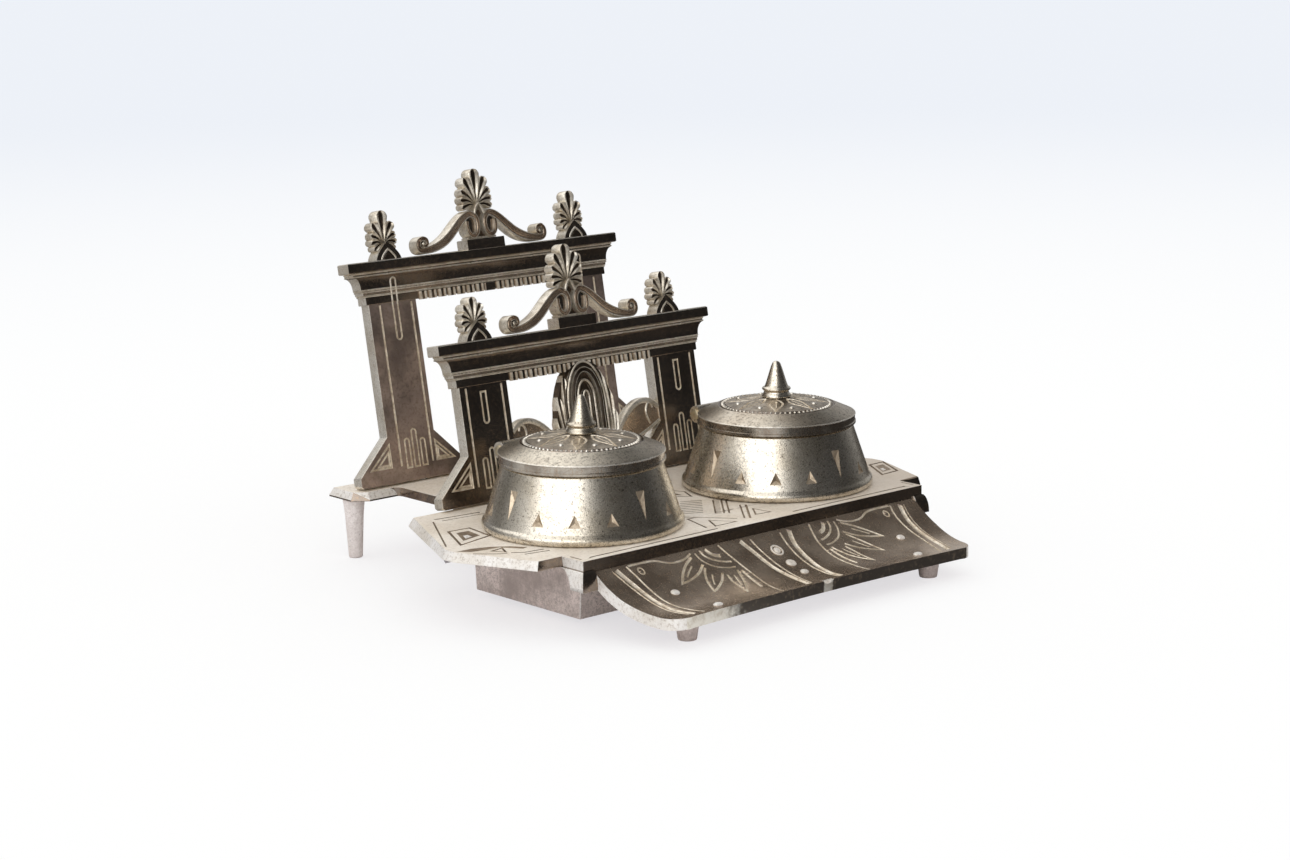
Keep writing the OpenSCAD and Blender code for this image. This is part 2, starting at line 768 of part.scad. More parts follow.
// The same mouldings seen from the side, as depth and height
function entablature_profile(h) =
    let (
        low = h - entablature_h,
        band_low = low + frieze_h,
        hollow_low = band_low + band_h,
        hollow_top = hollow_low + cavetto_h,
        hollow_out = cornice_out - 0.5
    ) concat(
        [[rack_t, low], [0, low], [0, band_low], [-band_out, band_low], [-band_out, hollow_low]],
        [for (a = [0:15:90])
            [-hollow_out + (hollow_out - band_out) * cos(a), hollow_low + cavetto_h * sin(a)]],
        [[-hollow_out, hollow_top + fillet_h], [-cornice_out, hollow_top + fillet_h]],
        [[-cornice_out, h], [rack_t, h]]
    );

module entablature(h) {
    intersection() {
        slab(rack_t + cornice_out, -cornice_out) polygon(mirrored(entablature_side(h)));
        bar(reach) polygon(entablature_profile(h));
    }
    slab(rack_t + cornice_out, -cornice_out) translate([-block_half_w, h - eps])
        square([2 * block_half_w, block_h + eps]);
    slab(tooth_out, -tooth_out) translate([-mid_block_half_w, h - entablature_h])
        square([2 * mid_block_half_w, frieze_h]);
    for (side = SIDES, k = [0:teeth - 1])
        slab(tooth_out, -tooth_out)
            translate([side * (tooth_pitch * (k + 1.1)) - tooth_w / 2, h - entablature_h])
                square([tooth_w, frieze_h]);
}

// A pilaster with a strut on each side of its foot
module pilaster(side, h) {
    slab(rack_t) polygon([
        [side * (foot_bar_half_w - 0.6), 0],
        [side * (foot_bar_half_w - 0.6), foot_bar_h],
        [side * pilaster_half_w, foot_bar_h + strut_h],
        [side * pilaster_half_w, h],
        [side * pilaster_in, h],
        [side * pilaster_in, foot_bar_h + strut_h],
        [side * (pilaster_in - strut_w), foot_bar_h],
        [side * (pilaster_in - strut_w), 0]
    ]);
}

module rack(y, h) {
    difference() {
        union() {
            at_rack(y) {
                for (side = SIDES) pilaster(side, h - entablature_h + eps);
                slab(rack_t) polygon(mirrored([
                    [foot_bar_half_w - 1, 0],
                    [foot_bar_half_w, 1],
                    [foot_bar_half_w, foot_bar_h - 1],
                    [foot_bar_half_w - 1, foot_bar_h]
                ]));
                entablature(h);
            }
            at_rack_screws(y) translate([0, 0, deck_top]) cylinder(r = foot_boss_r, h = 1.5 * rack_rise);
        }
        at_rack_screws(y) translate([0, 0, deck_top - eps]) cylinder(r = screw_r, h = rack_screw_top + eps);
        at_rack(y) {
            crest_spigot_places(h) spigot_hole();
            acroter_places(h) spigot_hole();
        }
    }
}

module spigot_hole() {
    translate([0, 0, -spigot_h]) cylinder(r = spigot_r, h = spigot_h + eps);
}

module crest_spigot_places(h) {
    for (side = SIDES) translate([side * (block_half_w - 4), crest_y + crest_t / 2, h + block_h]) children();
}

module acroter_places(h) {
    for (side = SIDES) translate([side * acroter_x, crest_y + crest_t / 2, h]) children();
}

module front_rack() {
    color([0.30, 0.26, 0.21]) at_origin() difference() {
        rack(front_rack_y, front_rack_h);
        at_rack(front_rack_y) fan_pin_places() cylinder(r = dowel_r, h = 4);
    }
}

module rear_rack() {
    color([0.36, 0.30, 0.26]) at_origin() rack(front_rack_y + rack_gap, rear_rack_h);
}

// ---- crests ----

// A palmette seen from the front, standing on y = 0, with one round lobe per leaf
module palmette(w, h, leaves = 9) {
    stem = h * 0.28;
    tip = w * 0.15;
    for (k = [0:leaves - 1]) {
        a = -112 + 224 * k / (leaves - 1);
        rx = w / 2 - tip;
        ry = (h - stem) - tip;
        translate([rx * sin(a), stem + ry * cos(a) * (cos(a) < 0 ? 0.5 : 1)]) circle(r = tip, $fn = 24);
    }
    polygon(mirrored([
        [w * 0.16, 0],
        [w * 0.42, stem * 0.6],
        [w * 0.44, stem + (h - stem) * 0.35],
        [w * 0.3, h * 0.86],
        [0, h - tip]
    ]));
}

// One scroll arm, from the middle down to its curled end
module scroll_arm(side) {
    curl_r = 3.7;
    start = [3, crest_h - palmette_h - 1.5];
    end = [scroll_reach - curl_r - 1, 2.4];
    handle_a = [scroll_reach * 0.42, crest_h - palmette_h + 1];
    handle_b = [scroll_reach * 0.45, 1.6];
    steps = 14;
    function width(t) = 2.3 - 0.9 * sin(180 * t);
    upper = [for (i = [0:steps]) let (t = i / steps, p = curve_point(start, handle_a, handle_b, end, t))
        [side * p[0], p[1] + width(t)]];
    lower = [for (i = [steps:-1:0]) let (t = i / steps, p = curve_point(start, handle_a, handle_b, end, t))
        [side * p[0], max(0.3, p[1] - width(t))]];
    polygon(concat(upper, lower));
    translate([side * (scroll_reach - curl_r), curl_r + 0.6]) circle(r = curl_r, $fn = 32);
}

// The middle crest: twin volutes on the block, scroll arms and a palmette on top
module pediment(y, h) {
    volute_h = crest_h - palmette_h - block_h + 1.4;
    volute_r = 4.2;
    volute_x = 4.4;
    eye_r = 1.6;
    at_origin() at_rack(y) {
        difference() {
            union() {
                slab(crest_t, crest_y) translate([0, h]) {
                    for (side = SIDES) scroll_arm(side);
                    translate([0, crest_h - palmette_h]) palmette(palmette_w, palmette_h);
                }
                slab(crest_t + crest_out, crest_y - crest_out) translate([0, h + block_h]) {
                    for (side = SIDES) {
                        translate([side * volute_x, volute_h - volute_r]) circle(r = volute_r, $fn = 32);
                        translate([side * volute_x, volute_r / 2]) circle(r = volute_r / 2, $fn = 32);
                    }
                    translate([-volute_x - volute_r / 2, 0])
                        square([2 * volute_x + volute_r, volute_h - volute_r]);
                }
            }
            translate([-block_half_w, -reach / 2, h - reach]) cube([2 * block_half_w, reach, reach + block_h]);
            for (side = SIDES) slab(1.4, crest_y - crest_out - eps)
                translate([side * volute_x, h + block_h]) {
                    translate([0, eye_r + 1.8]) circle(r = eye_r, $fn = 24);
                    translate([0, volute_h - volute_r]) circle(r = eye_r, $fn = 24);
                    translate([-eye_r, eye_r + 1.8]) square([2 * eye_r, volute_h - volute_r - eye_r - 1.8]);
                }
        }
        crest_spigot_places(h) translate([0, 0, -spigot_h]) cylinder(r = spigot_r, h = spigot_h + 1);
    }
}

module front_pediment() { color([0.62, 0.57, 0.46]) pediment(front_rack_y, front_rack_h); }
module rear_pediment() { color([0.62, 0.57, 0.46]) pediment(front_rack_y + rack_gap, rear_rack_h); }

// The pair of side ornaments: a pointed arch with a palmette over it
module acroteria(y, h, height) {
    base_h = height * 0.3;
    at_origin() at_rack(y) {
        for (side = SIDES) translate([side * acroter_x, 0, h]) {
            slab(crest_t + crest_out, crest_y - crest_out) polygon(mirrored([
                [acroter_w * 0.5, 0],
                [acroter_w * 0.46, base_h * 0.6],
                [acroter_w * 0.3, base_h * 1.2],
                [0, base_h * 1.6]
            ]));
            slab(crest_t, crest_y) translate([0, base_h * 0.5])
                palmette(acroter_w, height - base_h * 0.5, 7);
        }
        acroter_places(h) translate([0, 0, -spigot_h]) cylinder(r = spigot_r, h = spigot_h + 1);
    }
}

module front_acroteria() {
    color([0.62, 0.57, 0.46]) acroteria(front_rack_y, front_rack_h, front_acroter_h);
}

module rear_acroteria() {
    color([0.62, 0.57, 0.46]) acroteria(front_rack_y + rack_gap, rear_rack_h, rear_acroter_h);
}

// ---- fan panel in the front rack ----

module fan_pin_places() {
    for (side = SIDES) translate([side * fan_half_w / 2, fan_t / 2, foot_bar_h - 3]) children();
}

// The tall fan, seen from the front: a rounded head on sides that swell a little
module fan_shape() {
    top = front_rack_h - entablature_h + fan_lap;
    polygon(mirrored(concat(
        [[fan_half_w * 0.8, foot_bar_h]],
        [for (a = [0:7.5:90]) [fan_half_w * pow(cos(a), 0.8), 22 + (top - 22) * sin(a)]]
    )));
}

// A side scroll: it springs from the fan's foot, rises to a peak and meets the pilaster
module side_scroll(side) {
    peak = side_scroll_h + foot_bar_h;
    steps = 12;
    outer = [for (i = [0:steps])
        let (p = curve_point([fan_half_w * 0.8, 14], [22, peak - 2], [32, peak + 2.5], [pilaster_in, peak - 5], i / steps))
        [side * p[0], p[1]]];
    inner = [for (i = [steps:-1:0])
        let (p = curve_point([fan_half_w * 0.8, 7], [24, 14], [31, 15], [pilaster_in, foot_bar_h + strut_h], i / steps))
        [side * p[0], p[1]]];
    polygon(concat(outer, inner));
}

module fan_panel() {
    color([0.58, 0.53, 0.42]) at_origin() at_rack(front_rack_y) {
        difference() {
            slab(fan_t + fan_out, -fan_out) fan_shape();
            translate([-reach / 2, -tooth_out, front_rack_h - entablature_h]) cube([reach, reach, reach]);
        }
        for (side = SIDES) slab(fan_t) side_scroll(side);
        fan_pin_places() cylinder(r = dowel_r, h = 4);
    }
}

// ---- feet and legs ----

function leg_y() = rear_y + leg_top_r + 4.6;

module front_foot(side) {
    color([0.66, 0.58, 0.56]) at_origin() translate([side * foot_x, -foot_y, 0]) {
        difference() {
            cylinder(r1 = foot_r, r2 = foot_top_r, h = foot_under_z + 1.5);
            translate([0, foot_y, 0]) tray_roll(tray_r + tray_t);
        }
        cylinder(r = foot_spigot_r, h = foot_spigot_top);
    }
}

module left_front_foot() { front_foot(LEFT); }
module right_front_foot() { front_foot(RIGHT); }

// A rear leg: a slender taper that flares under the plate
module rear_leg(side) {
    color([0.66, 0.58, 0.56]) at_origin() translate([side * leg_x, leg_y(), 0]) rotate_extrude()
        polygon([
            [0, 0],
            [leg_r - 0.3, 0],
            [leg_r, 0.6],
            [leg_top_r - 0.9, deck_low * 0.7],
            [leg_top_r - 0.4, deck_low * 0.9],
            [leg_top_r, deck_low],
            [leg_spigot_r, deck_low],
            [leg_spigot_r, deck_low + leg_spigot_h],
            [0, deck_low + leg_spigot_h]
        ]);
}

module left_rear_leg() { rear_leg(LEFT); }
module right_rear_leg() { rear_leg(RIGHT); }

// ---- fixings ----

// Long screws that clamp each box, the deck and its pot together
module pot_screws() {
    color([0.45, 0.42, 0.38]) at_origin() for (side = SIDES) at_pot(side) at_pot_screws()
        translate([0, 0, box_low]) screw(deck_top + boss_hole_h - 1 - box_low - screw_head_h);
}

module rack_screws() {
    color([0.45, 0.42, 0.38]) at_origin() for (y = [front_rack_y, front_rack_y + rack_gap])
        at_rack_screws(y) translate([0, 0, deck_low - screw_head_h])
            screw(deck_t + rack_screw_top - 0.5);
}

module tray_screws() {
    color([0.45, 0.42, 0.38]) at_origin() tray_screw_places()
        screw(fascia_t + tray_screw_in - screw_head_h - 0.5);
}

module fascia_pins() {
    color([0.45, 0.42, 0.38]) at_origin() fascia_pin_places() cylinder(r = dowel_r, h = fascia_pin_h);
}

deck_plate();
front_fascia();
pen_tray();
left_well_box();
right_well_box();
left_pot();
right_pot();
left_liner();
right_liner();
left_lid();
right_lid();
left_knob();
right_knob();
left_knob_nut();
right_knob_nut();
left_hinge_pin();
right_hinge_pin();
front_rack();
rear_rack();
front_pediment();
rear_pediment();
front_acroteria();
rear_acroteria();
fan_panel();
left_front_foot();
right_front_foot();
left_rear_leg();
right_rear_leg();
pot_screws();
rack_screws();
tray_screws();
fascia_pins();
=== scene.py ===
import math

import bmesh
import bpy
from mathutils import Matrix, Vector


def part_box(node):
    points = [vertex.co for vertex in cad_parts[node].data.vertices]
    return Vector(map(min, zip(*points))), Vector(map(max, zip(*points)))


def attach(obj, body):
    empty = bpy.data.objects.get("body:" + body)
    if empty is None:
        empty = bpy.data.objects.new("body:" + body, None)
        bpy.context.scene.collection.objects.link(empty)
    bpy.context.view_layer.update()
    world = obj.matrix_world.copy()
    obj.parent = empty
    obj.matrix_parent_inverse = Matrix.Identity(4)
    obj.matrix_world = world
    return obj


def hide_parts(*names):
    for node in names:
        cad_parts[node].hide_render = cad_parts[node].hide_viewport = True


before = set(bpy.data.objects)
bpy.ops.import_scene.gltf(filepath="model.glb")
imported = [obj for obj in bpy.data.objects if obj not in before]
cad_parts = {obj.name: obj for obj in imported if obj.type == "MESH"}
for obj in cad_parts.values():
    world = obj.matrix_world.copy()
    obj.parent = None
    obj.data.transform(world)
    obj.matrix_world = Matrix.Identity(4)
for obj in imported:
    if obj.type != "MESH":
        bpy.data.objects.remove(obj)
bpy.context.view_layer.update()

# ---- sizes, in millimetres, laid out from the deck's front face and the floor ----

MIDDLE_Y = 70.687
DECK_TOP, DECK_LOW = 28.6, 25.0
LEAN = math.radians(10.1)
RACK_T = 5.6
FRONT_RACK_Y, REAR_RACK_Y = 98.2, 152.6
FRONT_RACK_H, REAR_RACK_H = 64.3, 91.8
ENTABLATURE_H, FOOT_BAR_H = 17.7, 5.4
POT_X, POT_Y = 51.9, 45.0
SIDES = (-1, 1)
NAMES = {-1: "left", 1: "right"}


# ---- places: every surface maps a drawn point to the layout ----


def metres(p):
    """A layout point in millimetres as a point of the frame in metres."""
    return Vector((p[0], p[1] - MIDDLE_Y, p[2])) / 1000


def layout(co):
    """A point of the frame in metres as a layout point in millimetres."""
    return Vector((co.x * 1000, co.y * 1000 + MIDDLE_Y, co.z * 1000))


def flat_map(p):
    return Vector(p)


def local(p):
    """Millimetres about a shape's own origin, for shapes that are repeated."""
    return Vector((p[0], p[1] + MIDDLE_Y, p[2]))


def rack_map(foot_y):
    """Rack coordinates (x, depth, height along the face) to the layout."""
    sin_lean, cos_lean = math.sin(LEAN), math.cos(LEAN)
    foot_z = DECK_TOP + RACK_T * sin_lean

    def to_layout(p):
        x, depth, height = p
        return Vector((
            x,
            foot_y + depth * cos_lean + height * sin_lean,
            foot_z - depth * sin_lean + height * cos_lean,
        ))

    return to_layout


def face_map(to_layout):
    """A rack's front face, as (x, height, out), to the layout."""
    return lambda p: to_layout((p[0], -p[2], p[1]))


def opposite(surface):
    """The same surface with left and right changed over."""
    return lambda p: surface((-p[0], p[1], p[2]))


# ---- objects and meshes ----


def new_object(name, mesh):
    obj = bpy.data.objects.new(name, mesh)
    bpy.context.scene.collection.objects.link(obj)
    return obj


def remove(obj):
    mesh = obj.data
    bpy.data.objects.remove(obj)
    bpy.data.meshes.remove(mesh)


def shade(mesh, sharp=35):
    mesh.shade_smooth()
    mesh.set_sharp_from_angle(angle=math.radians(sharp))


def object_from(bm, name, materials, sharp=35):
    """The bmesh as a new object with the given skins."""
    mesh = bpy.data.meshes.new(name)
    bm.to_mesh(mesh)
    bm.free()
    for material in materials:
        mesh.materials.append(material)
    shade(mesh, sharp)
    return new_object(name, mesh)


def finish_mesh(bm, name, materials, to_layout=flat_map, sharp=35, weld=0.0005):
    """A bmesh drawn in millimetres becomes an object at the origin, in metres."""
    for v in bm.verts:
        v.co = metres(to_layout(v.co))
    bmesh.ops.remove_doubles(bm, verts=bm.verts, dist=weld / 1000)
    bmesh.ops.dissolve_degenerate(bm, edges=bm.edges, dist=weld / 1000)
    bmesh.ops.recalc_face_normals(bm, faces=bm.faces)
    return object_from(bm, name, materials, sharp)


def join_pieces(name, objs):
    """Joins objects that share one list of skins."""
    bm = bmesh.new()
    materials = list(objs[0].data.materials)
    for obj in objs:
        bm.from_mesh(obj.data)
        remove(obj)
    return object_from(bm, name, materials)


def bake_modifiers(obj):
    """The modifiers' result becomes the object's own mesh."""
    graph = bpy.context.evaluated_depsgraph_get()
    mesh = bpy.data.meshes.new_from_object(obj.evaluated_get(graph))
    obj.modifiers.clear()
    old = obj.data
    obj.data = mesh
    bpy.data.meshes.remove(old)
    return obj


def steady_normals(obj):
    """Large faces keep their flat look beside narrow bevels and cuts."""
    weighted = obj.modifiers.new("steady", "WEIGHTED_NORMAL")
    weighted.keep_sharp = True
    weighted.weight = 70
    return bake_modifiers(obj)


def combine(obj, operation, other):
    """Takes a closed solid out of obj, or keeps only what the two share."""
    tool = obj.modifiers.new("combine", "BOOLEAN")
    tool.operation = operation
    tool.object = other
    tool.solver = "MANIFOLD"
    bake_modifiers(obj)
    remove(other)


def cut(obj, cutters):
    for cutter in cutters:
        combine(obj, "DIFFERENCE", cutter)
    return obj


def hand_over(piece, body, slot, *nodes):
    """Says which body a finished piece rides on and the nodes that it replaces; slot is not used."""
    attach(piece, body)
    if nodes:
        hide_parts(*nodes)


# ---- shading trees ----


class Tree:
    """Short calls for the nodes of a material or of the world."""

    def __init__(self, owner, coordinates):
        owner.use_nodes = True
        self.tree = owner.node_tree
        self.tree.nodes.clear()
        self.place = self.add("ShaderNodeTexCoord").outputs[coordinates]

    def add(self, kind, **settings):
        made = self.tree.nodes.new(kind)
        for key, value in settings.items():
            setattr(made, key, value)
        return made

    def feed(self, socket, value):
        """Joins a socket to another, or sets it to a number or a colour."""
        if isinstance(value, bpy.types.NodeSocket):
            self.tree.links.new(value, socket)
        elif isinstance(value, tuple):
            socket.default_value = (*value, 1)
        else:
            socket.default_value = value

    def feed_all(self, node, **values):
        """Feeds sockets by their names, with _ for the spaces."""
        for key, value in values.items():
            self.feed(node.inputs[key.replace("_", " ")], value)

    def math(self, operation, *terms):
        made = self.add("ShaderNodeMath", operation=operation)
        for socket, term in zip(made.inputs, terms):
            self.feed(socket, term)
        return made.outputs[0]

    def axes(self):
        """The place's X, Y and Z outputs."""
        made = self.add("ShaderNodeSeparateXYZ")
        self.feed(made.inputs[0], self.place)
        return made.outputs

    def towards(self, x, y, low, high, to_low=0.0, to_high=1.0):
        """Rises as the place goes from low to high along a level direction."""
        made = self.add("ShaderNodeVectorMath", operation="DOT_PRODUCT")
        self.feed(made.inputs[0], self.place)
        made.inputs[1].default_value = (x, y, 0)
        return self.spread(made.outputs["Value"], low, high, to_low, to_high)

    def spread(self, value, low, high, to_low=0.0, to_high=1.0, kind="SMOOTHSTEP"):
        made = self.add("ShaderNodeMapRange", interpolation_type=kind)
        self.feed_all(made, Value=value, From_Min=low, From_Max=high, To_Min=to_low, To_Max=to_high)
        return made.outputs["Result"]

    def blend(self, factor, a, b, kind="MIX"):
        made = self.add("ShaderNodeMix", data_type="RGBA", blend_type=kind)
        self.feed_all(made, Factor=factor, A=a, B=b)
        return made.outputs["Result"]

    def ramp(self, value, stops):
        """Levels of grey at places along the value."""
        made = self.add("ShaderNodeValToRGB")
        made.color_ramp.interpolation = "EASE"
        elements = made.color_ramp.elements
        while len(elements) < len(stops):
            elements.new(0.5)
        for element, (place, level) in zip(elements, stops):
            element.position = place
            element.color = (level, level, level, 1)
        self.feed(made.inputs["Fac"], value)
        return made.outputs["Color"]


class Recipe(Tree):
    """A material: one Principled shader on Object coordinates."""

    def __init__(self, name):
        self.material = bpy.data.materials.new(name)
        super().__init__(self.material, "Object")
        self.shader = self.add("ShaderNodeBsdfPrincipled")
        output = self.add("ShaderNodeOutputMaterial")
        self.feed(output.inputs["Surface"], self.shader.outputs[0])

    def set(self, **values):
        self.feed_all(self.shader, **values)

    def noise(self, scale, detail, roughness):
        made = self.add("ShaderNodeTexNoise")
        self.feed_all(made, Vector=self.place, Scale=scale, Detail=detail, Roughness=roughness)
        return made.outputs["Fac"]

    def bumps(self, *layers):
        """Layers of (height, distance in metres, strength)."""
        last = None
        for height, distance, strength in layers:
            made = self.add("ShaderNodeBump")
            self.feed_all(made, Height=height, Distance=distance, Strength=strength)
            if last:
                self.feed(made.inputs["Normal"], last)
            last = made.outputs["Normal"]
        self.feed(self.shader.inputs["Normal"], last)


# ---- finishes ----


def plated_metal(name, clean, tarnish, speck, rough, speck_from=0.68, grain=0.5, patch_scale=38,
                 metallic=1.0, pepper=0.6, fade=None):
    """Worn plate: clean and tarnished patches, dark specks and a fine orange-peel skin.

    rough is its range of roughness, and fade, painted shade that darkens the colour towards larger x, is
    (from x, to x, colour) in metres.
    """
    r = Recipe(name)
    patches = r.noise(patch_scale, 5, 0.62)
    fine = r.noise(780, 4, 0.75)
    specks = r.noise(1500, 2, 0.6)
    peel = r.noise(2600, 2, 0.6)
    dents = r.noise(240, 3, 0.6)
    colour = r.blend(r.spread(patches, 0.36, 0.66), clean, tarnish)
    colour = r.blend(r.spread(fine, 0.46, 0.72, 0.0, pepper), colour, speck)
    colour = r.blend(r.spread(specks, speck_from, speck_from + 0.06, 0.0, 0.75), colour, speck)
    # painted shade: the colour darkens along x, from start to end, where the top catches less light than at
    # its left
    if fade:
        start, end, faded = fade
        colour = r.blend(r.spread(r.axes()["X"], start, end, 0.0, 0.7), colour, faded)
    r.set(Base_Color=colour, Metallic=metallic, Roughness=r.spread(fine, 0.3, 0.75, *rough))
    r.bumps((dents, 0.0003, 0.12 * grain), (peel, 0.00008, 0.55 * grain))
    return r.material


def rough_casting(name, light, dark, rust, metallic):
    """An unfinished casting's skin: sandy, mottled and pitted."""
    r = Recipe(name)
    patches = r.noise(55, 6, 0.65)
    sand = r.noise(950, 5, 0.85)
    pits = r.noise(520, 3, 0.75)
    stains = r.noise(90, 5, 0.7)
    in_pits = tuple(0.35 * c for c in dark)
    colour = r.blend(r.spread(patches, 0.35, 0.68), light, dark)
    colour = r.blend(r.spread(sand, 0.44, 0.62, 0.0, 0.85), colour, dark)
    colour = r.blend(r.spread(pits, 0.66, 0.74, 0.0, 0.8), colour, in_pits)
    colour = r.blend(r.spread(stains, 0.63, 0.75, 0.0, 0.6), colour, rust)
    r.set(Base_Color=colour, Metallic=metallic, Roughness=r.spread(sand, 0.3, 0.7, 0.55, 0.8))
    r.bumps((pits, 0.0006, 0.5), (sand, 0.0002, 0.8))
    return r.material


def clear_glass(name):
    """Old moulded glass: faintly green, smeared and a little wavy."""
    r = Recipe(name)
    smears = r.spread(r.noise(180, 4, 0.6), 0.35, 0.75, 0.03, 0.22)
    r.set(Base_Color=(0.86, 0.93, 0.92), Transmission_Weight=0.9, IOR=1.5, Roughness=smears)
    r.bumps((r.noise(60, 2, 0.5), 0.0005, 0.25))
    return r.material


def lip_painted_reflection(name):
    """Painted reflection: dark in the main, as the lip mirrors the dark side in front, and pale at the left
    end; pale too round the nick in the middle.
    """
    end_x, nick_half_w = (-0.046, -0.034), (0.0030, 0.0038)
    r = Recipe(name)
    x, ragged = r.axes()["X"], r.noise(260, 4, 0.7)
    off_end = r.spread(r.math("MULTIPLY_ADD", ragged, 0.02, x), *end_x)
    off_nick = r.spread(r.math("MULTIPLY_ADD", ragged, 0.002, r.math("ABSOLUTE", x)), *nick_half_w)
    dark = r.blend(r.spread(r.noise(420, 4, 0.7), 0.5, 0.7), (0.10, 0.085, 0.07), (0.22, 0.175, 0.13))
    pale = r.blend(r.spread(ragged, 0.4, 0.7), (0.90, 0.86, 0.77), (0.66, 0.59, 0.48))
    colour = r.blend(r.math("MINIMUM", off_end, off_nick), pale, dark)
    r.set(Base_Color=colour, Metallic=0.7, Roughness=0.3)
    r.bumps((r.noise(900, 3, 0.6), 0.0001, 0.5))
    return r.material


# name, clean colour, tarnish, specks and the range of roughness
# the deck's top: a pale copy of the plate, painted light where the top mirrors the pale room, over real
# tarnish and specks; its fade is painted shade, darker towards the right
TOP_PLATE = plated_metal(
    "top_plate_painted_pale", (0.98, 0.90, 0.78), (0.86, 0.76, 0.62), (0.36, 0.27, 0.18), (0.40, 0.58),
    metallic=0.0, pepper=0.35, fade=(-0.03, 0.105, (0.50, 0.41, 0.31)))
POT_PLATE = plated_metal(
    "pot_plate", (0.78, 0.72, 0.62), (0.62, 0.55, 0.44), (0.09, 0.07, 0.05), (0.2, 0.32),
    speck_from=0.60, grain=0.9, pepper=0.5)
LID_PLATE = plated_metal(
    "lid_plate", (0.66, 0.60, 0.50), (0.50, 0.43, 0.34), (0.08, 0.06, 0.045), (0.26, 0.42),
    speck_from=0.60, grain=0.9, pepper=0.75)
LID_RIM = plated_metal(
    "lid_rim", (0.52, 0.48, 0.42), (0.30, 0.26, 0.22), (0.30, 0.19, 0.11), (0.2, 0.32),
    grain=0.7, patch_scale=150)
LID_DISC = plated_metal(
    "lid_disc", (0.52, 0.45, 0.36), (0.30, 0.25, 0.19), (0.07, 0.05, 0.04), (0.3, 0.45),
    grain=0.9, patch_scale=160, pepper=0.8)
# painted reflection: dark copies of the plate for faces that look forward and mirror the dark side in
# front, the rear rack's copy brown; the dark copy also paints shade in the volute's eyes and the lid's bead
# bed
FACE_PLATE = plated_metal(
    "front_face_painted_dark", (0.30, 0.25, 0.21), (0.20, 0.165, 0.14), (0.50, 0.36, 0.24), (0.12, 0.26),
    speck_from=0.72, grain=0.35)
REAR_FACE_PLATE = plated_metal(
    "rear_face_painted_brown", (0.538, 0.41, 0.333), (0.166, 0.128, 0.109), (0.10, 0.07, 0.05), (0.14, 0.28),
    speck_from=0.72, grain=0.35, patch_scale=26, metallic=0.6)
TRAY_PLATE = plated_metal(
    "tray_hollow_plate", (0.66, 0.535, 0.41), (0.38, 0.295, 0.22), (0.62, 0.36, 0.18), (0.16, 0.30),
    speck_from=0.74, grain=0.8, patch_scale=55, metallic=0.88, pepper=0.25)
PIT_SKIN = plated_metal(
    "pit_facet", (0.66, 0.55, 0.41), (0.44, 0.35, 0.25), (0.16, 0.11, 0.07), (0.3, 0.45),
    grain=0.6, patch_scale=150, metallic=0.75)
# painted highlight: a pale copy of the plate for the racks' sides and tops, the lid's top rim edge and its
# studs, where they catch light
EDGE_PLATE = plated_metal(
    "edge_painted_highlight", (0.86, 0.82, 0.74), (0.66, 0.60, 0.50), (0.28, 0.21, 0.14), (0.24, 0.42),
    grain=0.6, metallic=0.8)
# painted highlight: a pale copy of the plate for the deck's side edges, the fascia's ends, the tray's side
# edges, the deck's pyramids and the tray's pellets
RIM_PLATE = plated_metal(
    "rim_painted_highlight", (0.94, 0.91, 0.86), (0.78, 0.72, 0.63), (0.34, 0.26, 0.18), (0.4, 0.6),
    grain=0.6, metallic=0.25)
# pale lines: partly the matte finish in grooves, partly painted highlight on beads, rims and curved groove
# walls that catch light
GROOVE_SKIN = plated_metal(
    "matte_line_and_highlight", (0.94, 0.86, 0.72), (0.66, 0.56, 0.42), (0.24, 0.17, 0.11), (0.4, 0.6),
    grain=0.8, patch_scale=190, metallic=0.6)
ENGRAVED = plated_metal(
    "deck_engraving", (0.40, 0.31, 0.22), (0.24, 0.18, 0.125), (0.14, 0.09, 0.05), (0.45, 0.65),
    grain=0.8, patch_scale=150, metallic=0.6)
ORNAMENT = plated_metal(
    "cast_ornament", (0.84, 0.78, 0.67), (0.60, 0.53, 0.42), (0.16, 0.12, 0.08), (0.26, 0.42),
    grain=0.7, patch_scale=120, metallic=0.72)
SHADE_SKIN = plated_metal(
    "dark_hollow", (0.15, 0.12, 0.095), (0.085, 0.068, 0.052), (0.26, 0.18, 0.11), (0.3, 0.55),
    grain=0.5)
TURNED_BRASS = plated_metal(
    "turned_brass", (0.66, 0.57, 0.40), (0.46, 0.38, 0.25), (0.20, 0.13, 0.07), (0.28, 0.45))
SCREW_STEEL = plated_metal(
    "screw_steel", (0.42, 0.40, 0.38), (0.28, 0.25, 0.22), (0.16, 0.09, 0.05), (0.35, 0.55))
# name, light, dark, rust and how metallic
RAW_SKIN = rough_casting(
    "raw_casting_skin", (0.86, 0.75, 0.69), (0.42, 0.35, 0.315), (0.34, 0.20, 0.12), 0.15)
LEG_SKIN = rough_casting(
    "pale_casting_skin", (0.96, 0.89, 0.84), (0.72, 0.64, 0.59), (0.40, 0.26, 0.16), 0.1)
RAW_EDGE = rough_casting(
    "rubbed_casting_edge", (0.92, 0.88, 0.84), (0.70, 0.64, 0.60), (0.40, 0.30, 0.24), 0.5)
APRON_SKIN = rough_casting(
    "lilac_apron_skin", (0.60, 0.57, 0.60), (0.42, 0.40, 0.43), (0.36, 0.28, 0.22), 0.5)
LINER_GLASS = clear_glass("liner_glass")
LIP_PLATE = lip_painted_reflection("lip_painted_reflection")


# ---- lines and outlines ----


def polar(radius, degrees):
    turn = math.radians(degrees)
    return radius * math.cos(turn), radius * math.sin(turn)


